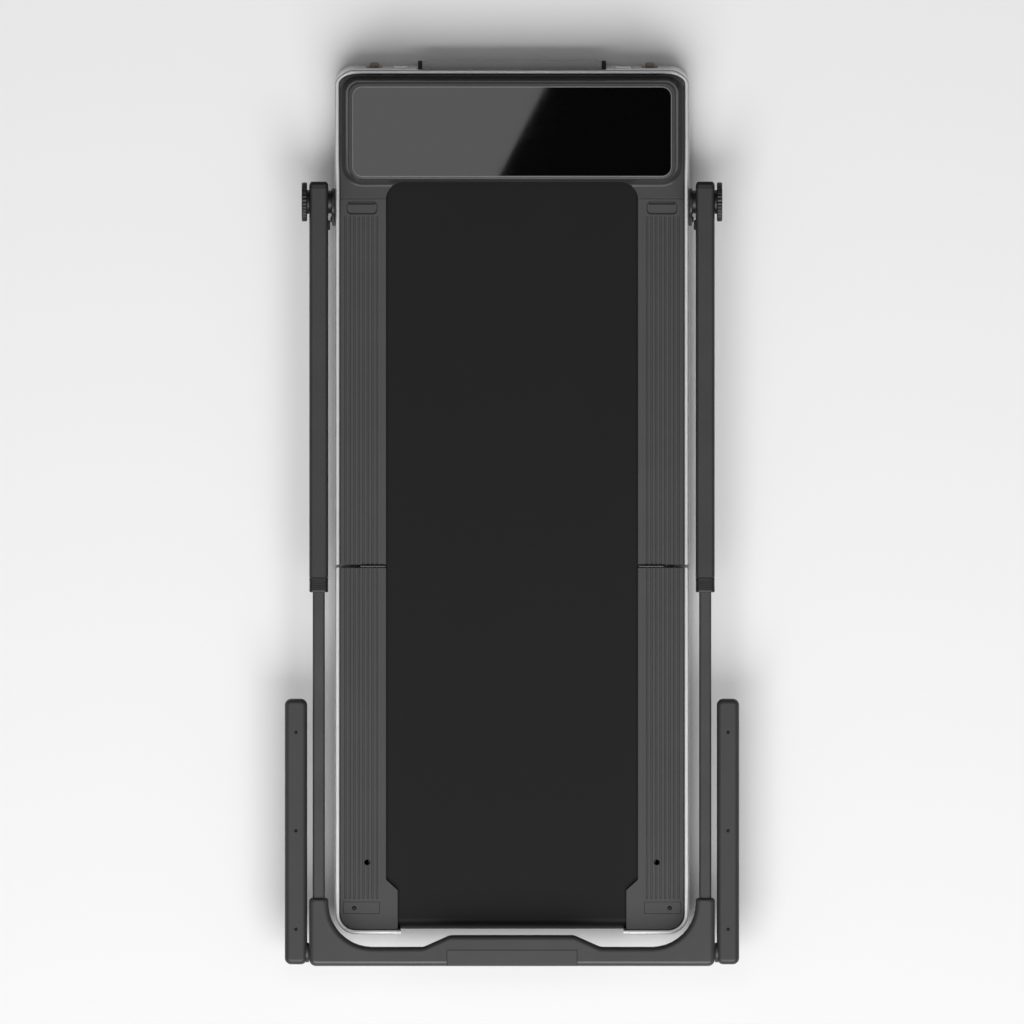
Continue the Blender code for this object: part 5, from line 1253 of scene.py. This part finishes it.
ENAMEL = powder("motor enamel", (0.035, 0.035, 0.038), 0.35)
dressed(["motor"], ENAMEL)
CAST = Finish("cast alloy", (0.42, 0.42, 0.43), 0.45, metallic=0.9)
sand = CAST.noise(800, 4, 0.7)
CAST.set("Roughness", 0.38 + sand * 0.22)
CAST.bump(sand, 0.00015, 0.7)
dressed(["controller"], CAST)
dressed(["drive_belt"], RUBBER)
LAMINATE = Finish("board laminate", (0.012, 0.07, 0.03), 0.35)
weave = LAMINATE.noise(900, 2)
LAMINATE.set("Roughness", 0.30 + weave * 0.15)
LAMINATE.set("Base Color", LAMINATE.blend(weave, (0.010, 0.060, 0.026), (0.016, 0.085, 0.036)))
dressed(["display_board"], LAMINATE)

# ---- studio ----
# A pale seamless floor under soft boxes: a broad one behind the walker's end, gentle fill all round and
# one tall narrow box over the hood.

FLOOR = Finish("studio floor", (0.94, 0.94, 0.94), 0.75)
paper = FLOOR.noise(180, 3)
FLOOR.set("Roughness", 0.70 + paper * 0.1)
FLOOR.fade(paper, (0.95, 0.95, 0.95))
sweep = bmesh.new()
bmesh.ops.create_grid(sweep, x_segments=1, y_segments=1, size=9)
floor = shaded("studio_floor", sweep, FLOOR)
floor.location.z = -0.0003


CAMERA_HEIGHT = 32.26
HOOD_BOX_HEIGHT = 5.0
HOOD_BOX_SPIN = -27.1
SHEEN_EDGE = ((0.0505, 0.682), (-0.0207, 0.5427))  # where the box's edge is mirrored in the window


def mirrored_at(x, y):
    """Where a ray from the camera, mirrored in the window at x, y, meets the hood box's height."""
    share = (HOOD_BOX_HEIGHT - top) / (CAMERA_HEIGHT - top)
    return Vector((x * (1 + share), y * (1 + share)))


edge = [mirrored_at(*point) for point in SHEEN_EDGE]
along = (edge[0] - edge[1]).normalized()
centre = (edge[0] + edge[1]) / 2 + Vector((-along.y, along.x)) * 0.45
HOOD_BOX = (centre.x, centre.y, HOOD_BOX_HEIGHT)


def soft_box(name, place, aim, size, radiance, spin=0.0):
    """A rectangular light of even radiance."""
    lamp = bpy.data.lights.new(name, "AREA")
    lamp.shape = "RECTANGLE"
    lamp.size, lamp.size_y = size
    lamp.energy = radiance * math.pi * size[0] * size[1]
    lit = bpy.data.objects.new(name, lamp)
    lit.location = place
    way = Vector(aim) - Vector(place)
    leaning = way.xy.length > 0.01
    lit.rotation_euler = way.to_track_quat("-Z", "Y").to_euler() if leaning else (0, 0, math.radians(spin))
    lit.visible_camera = False
    bpy.context.scene.collection.objects.link(lit)


soft_box("rear box", (0, -5.4, 7.6), (0, 0, 0), (9.5, 6.5), 4.6)
soft_box("hood box", HOOD_BOX, (HOOD_BOX[0], HOOD_BOX[1], 0), (0.9, 1.2), 2.3, spin=HOOD_BOX_SPIN)

world = bpy.data.worlds.new("studio air")
world.use_nodes = True
air = Nodes(world.node_tree, "Background")
way = air.node("ShaderNodeTexCoord", output="Generated")
rise = air.node("ShaderNodeSeparateXYZ", inputs={0: way}, output="Z")
ahead = air.node("ShaderNodeSeparateXYZ", inputs={0: way}, output="Y")
air.set("Color", (1.0, 1.0, 1.01, 1))
glow = 0.03 + rise.between(0.10, 0.70) * ahead.between(0.75, -0.10) * 0.34
air.set("Strength", glow * rise.between(0.9985, 0.985))
bpy.context.scene.world = world
bpy.context.scene.view_settings.view_transform = "Standard"
bpy.context.scene.view_settings.look = "None"

lens = bpy.data.cameras.new("camera")
lens.lens = 700
lens.sensor_width = 36
lens.clip_end = 120
camera = bpy.data.objects.new("camera", lens)
camera.location = (0, 0.0016, CAMERA_HEIGHT)
bpy.context.scene.collection.objects.link(camera)
bpy.context.scene.camera = camera
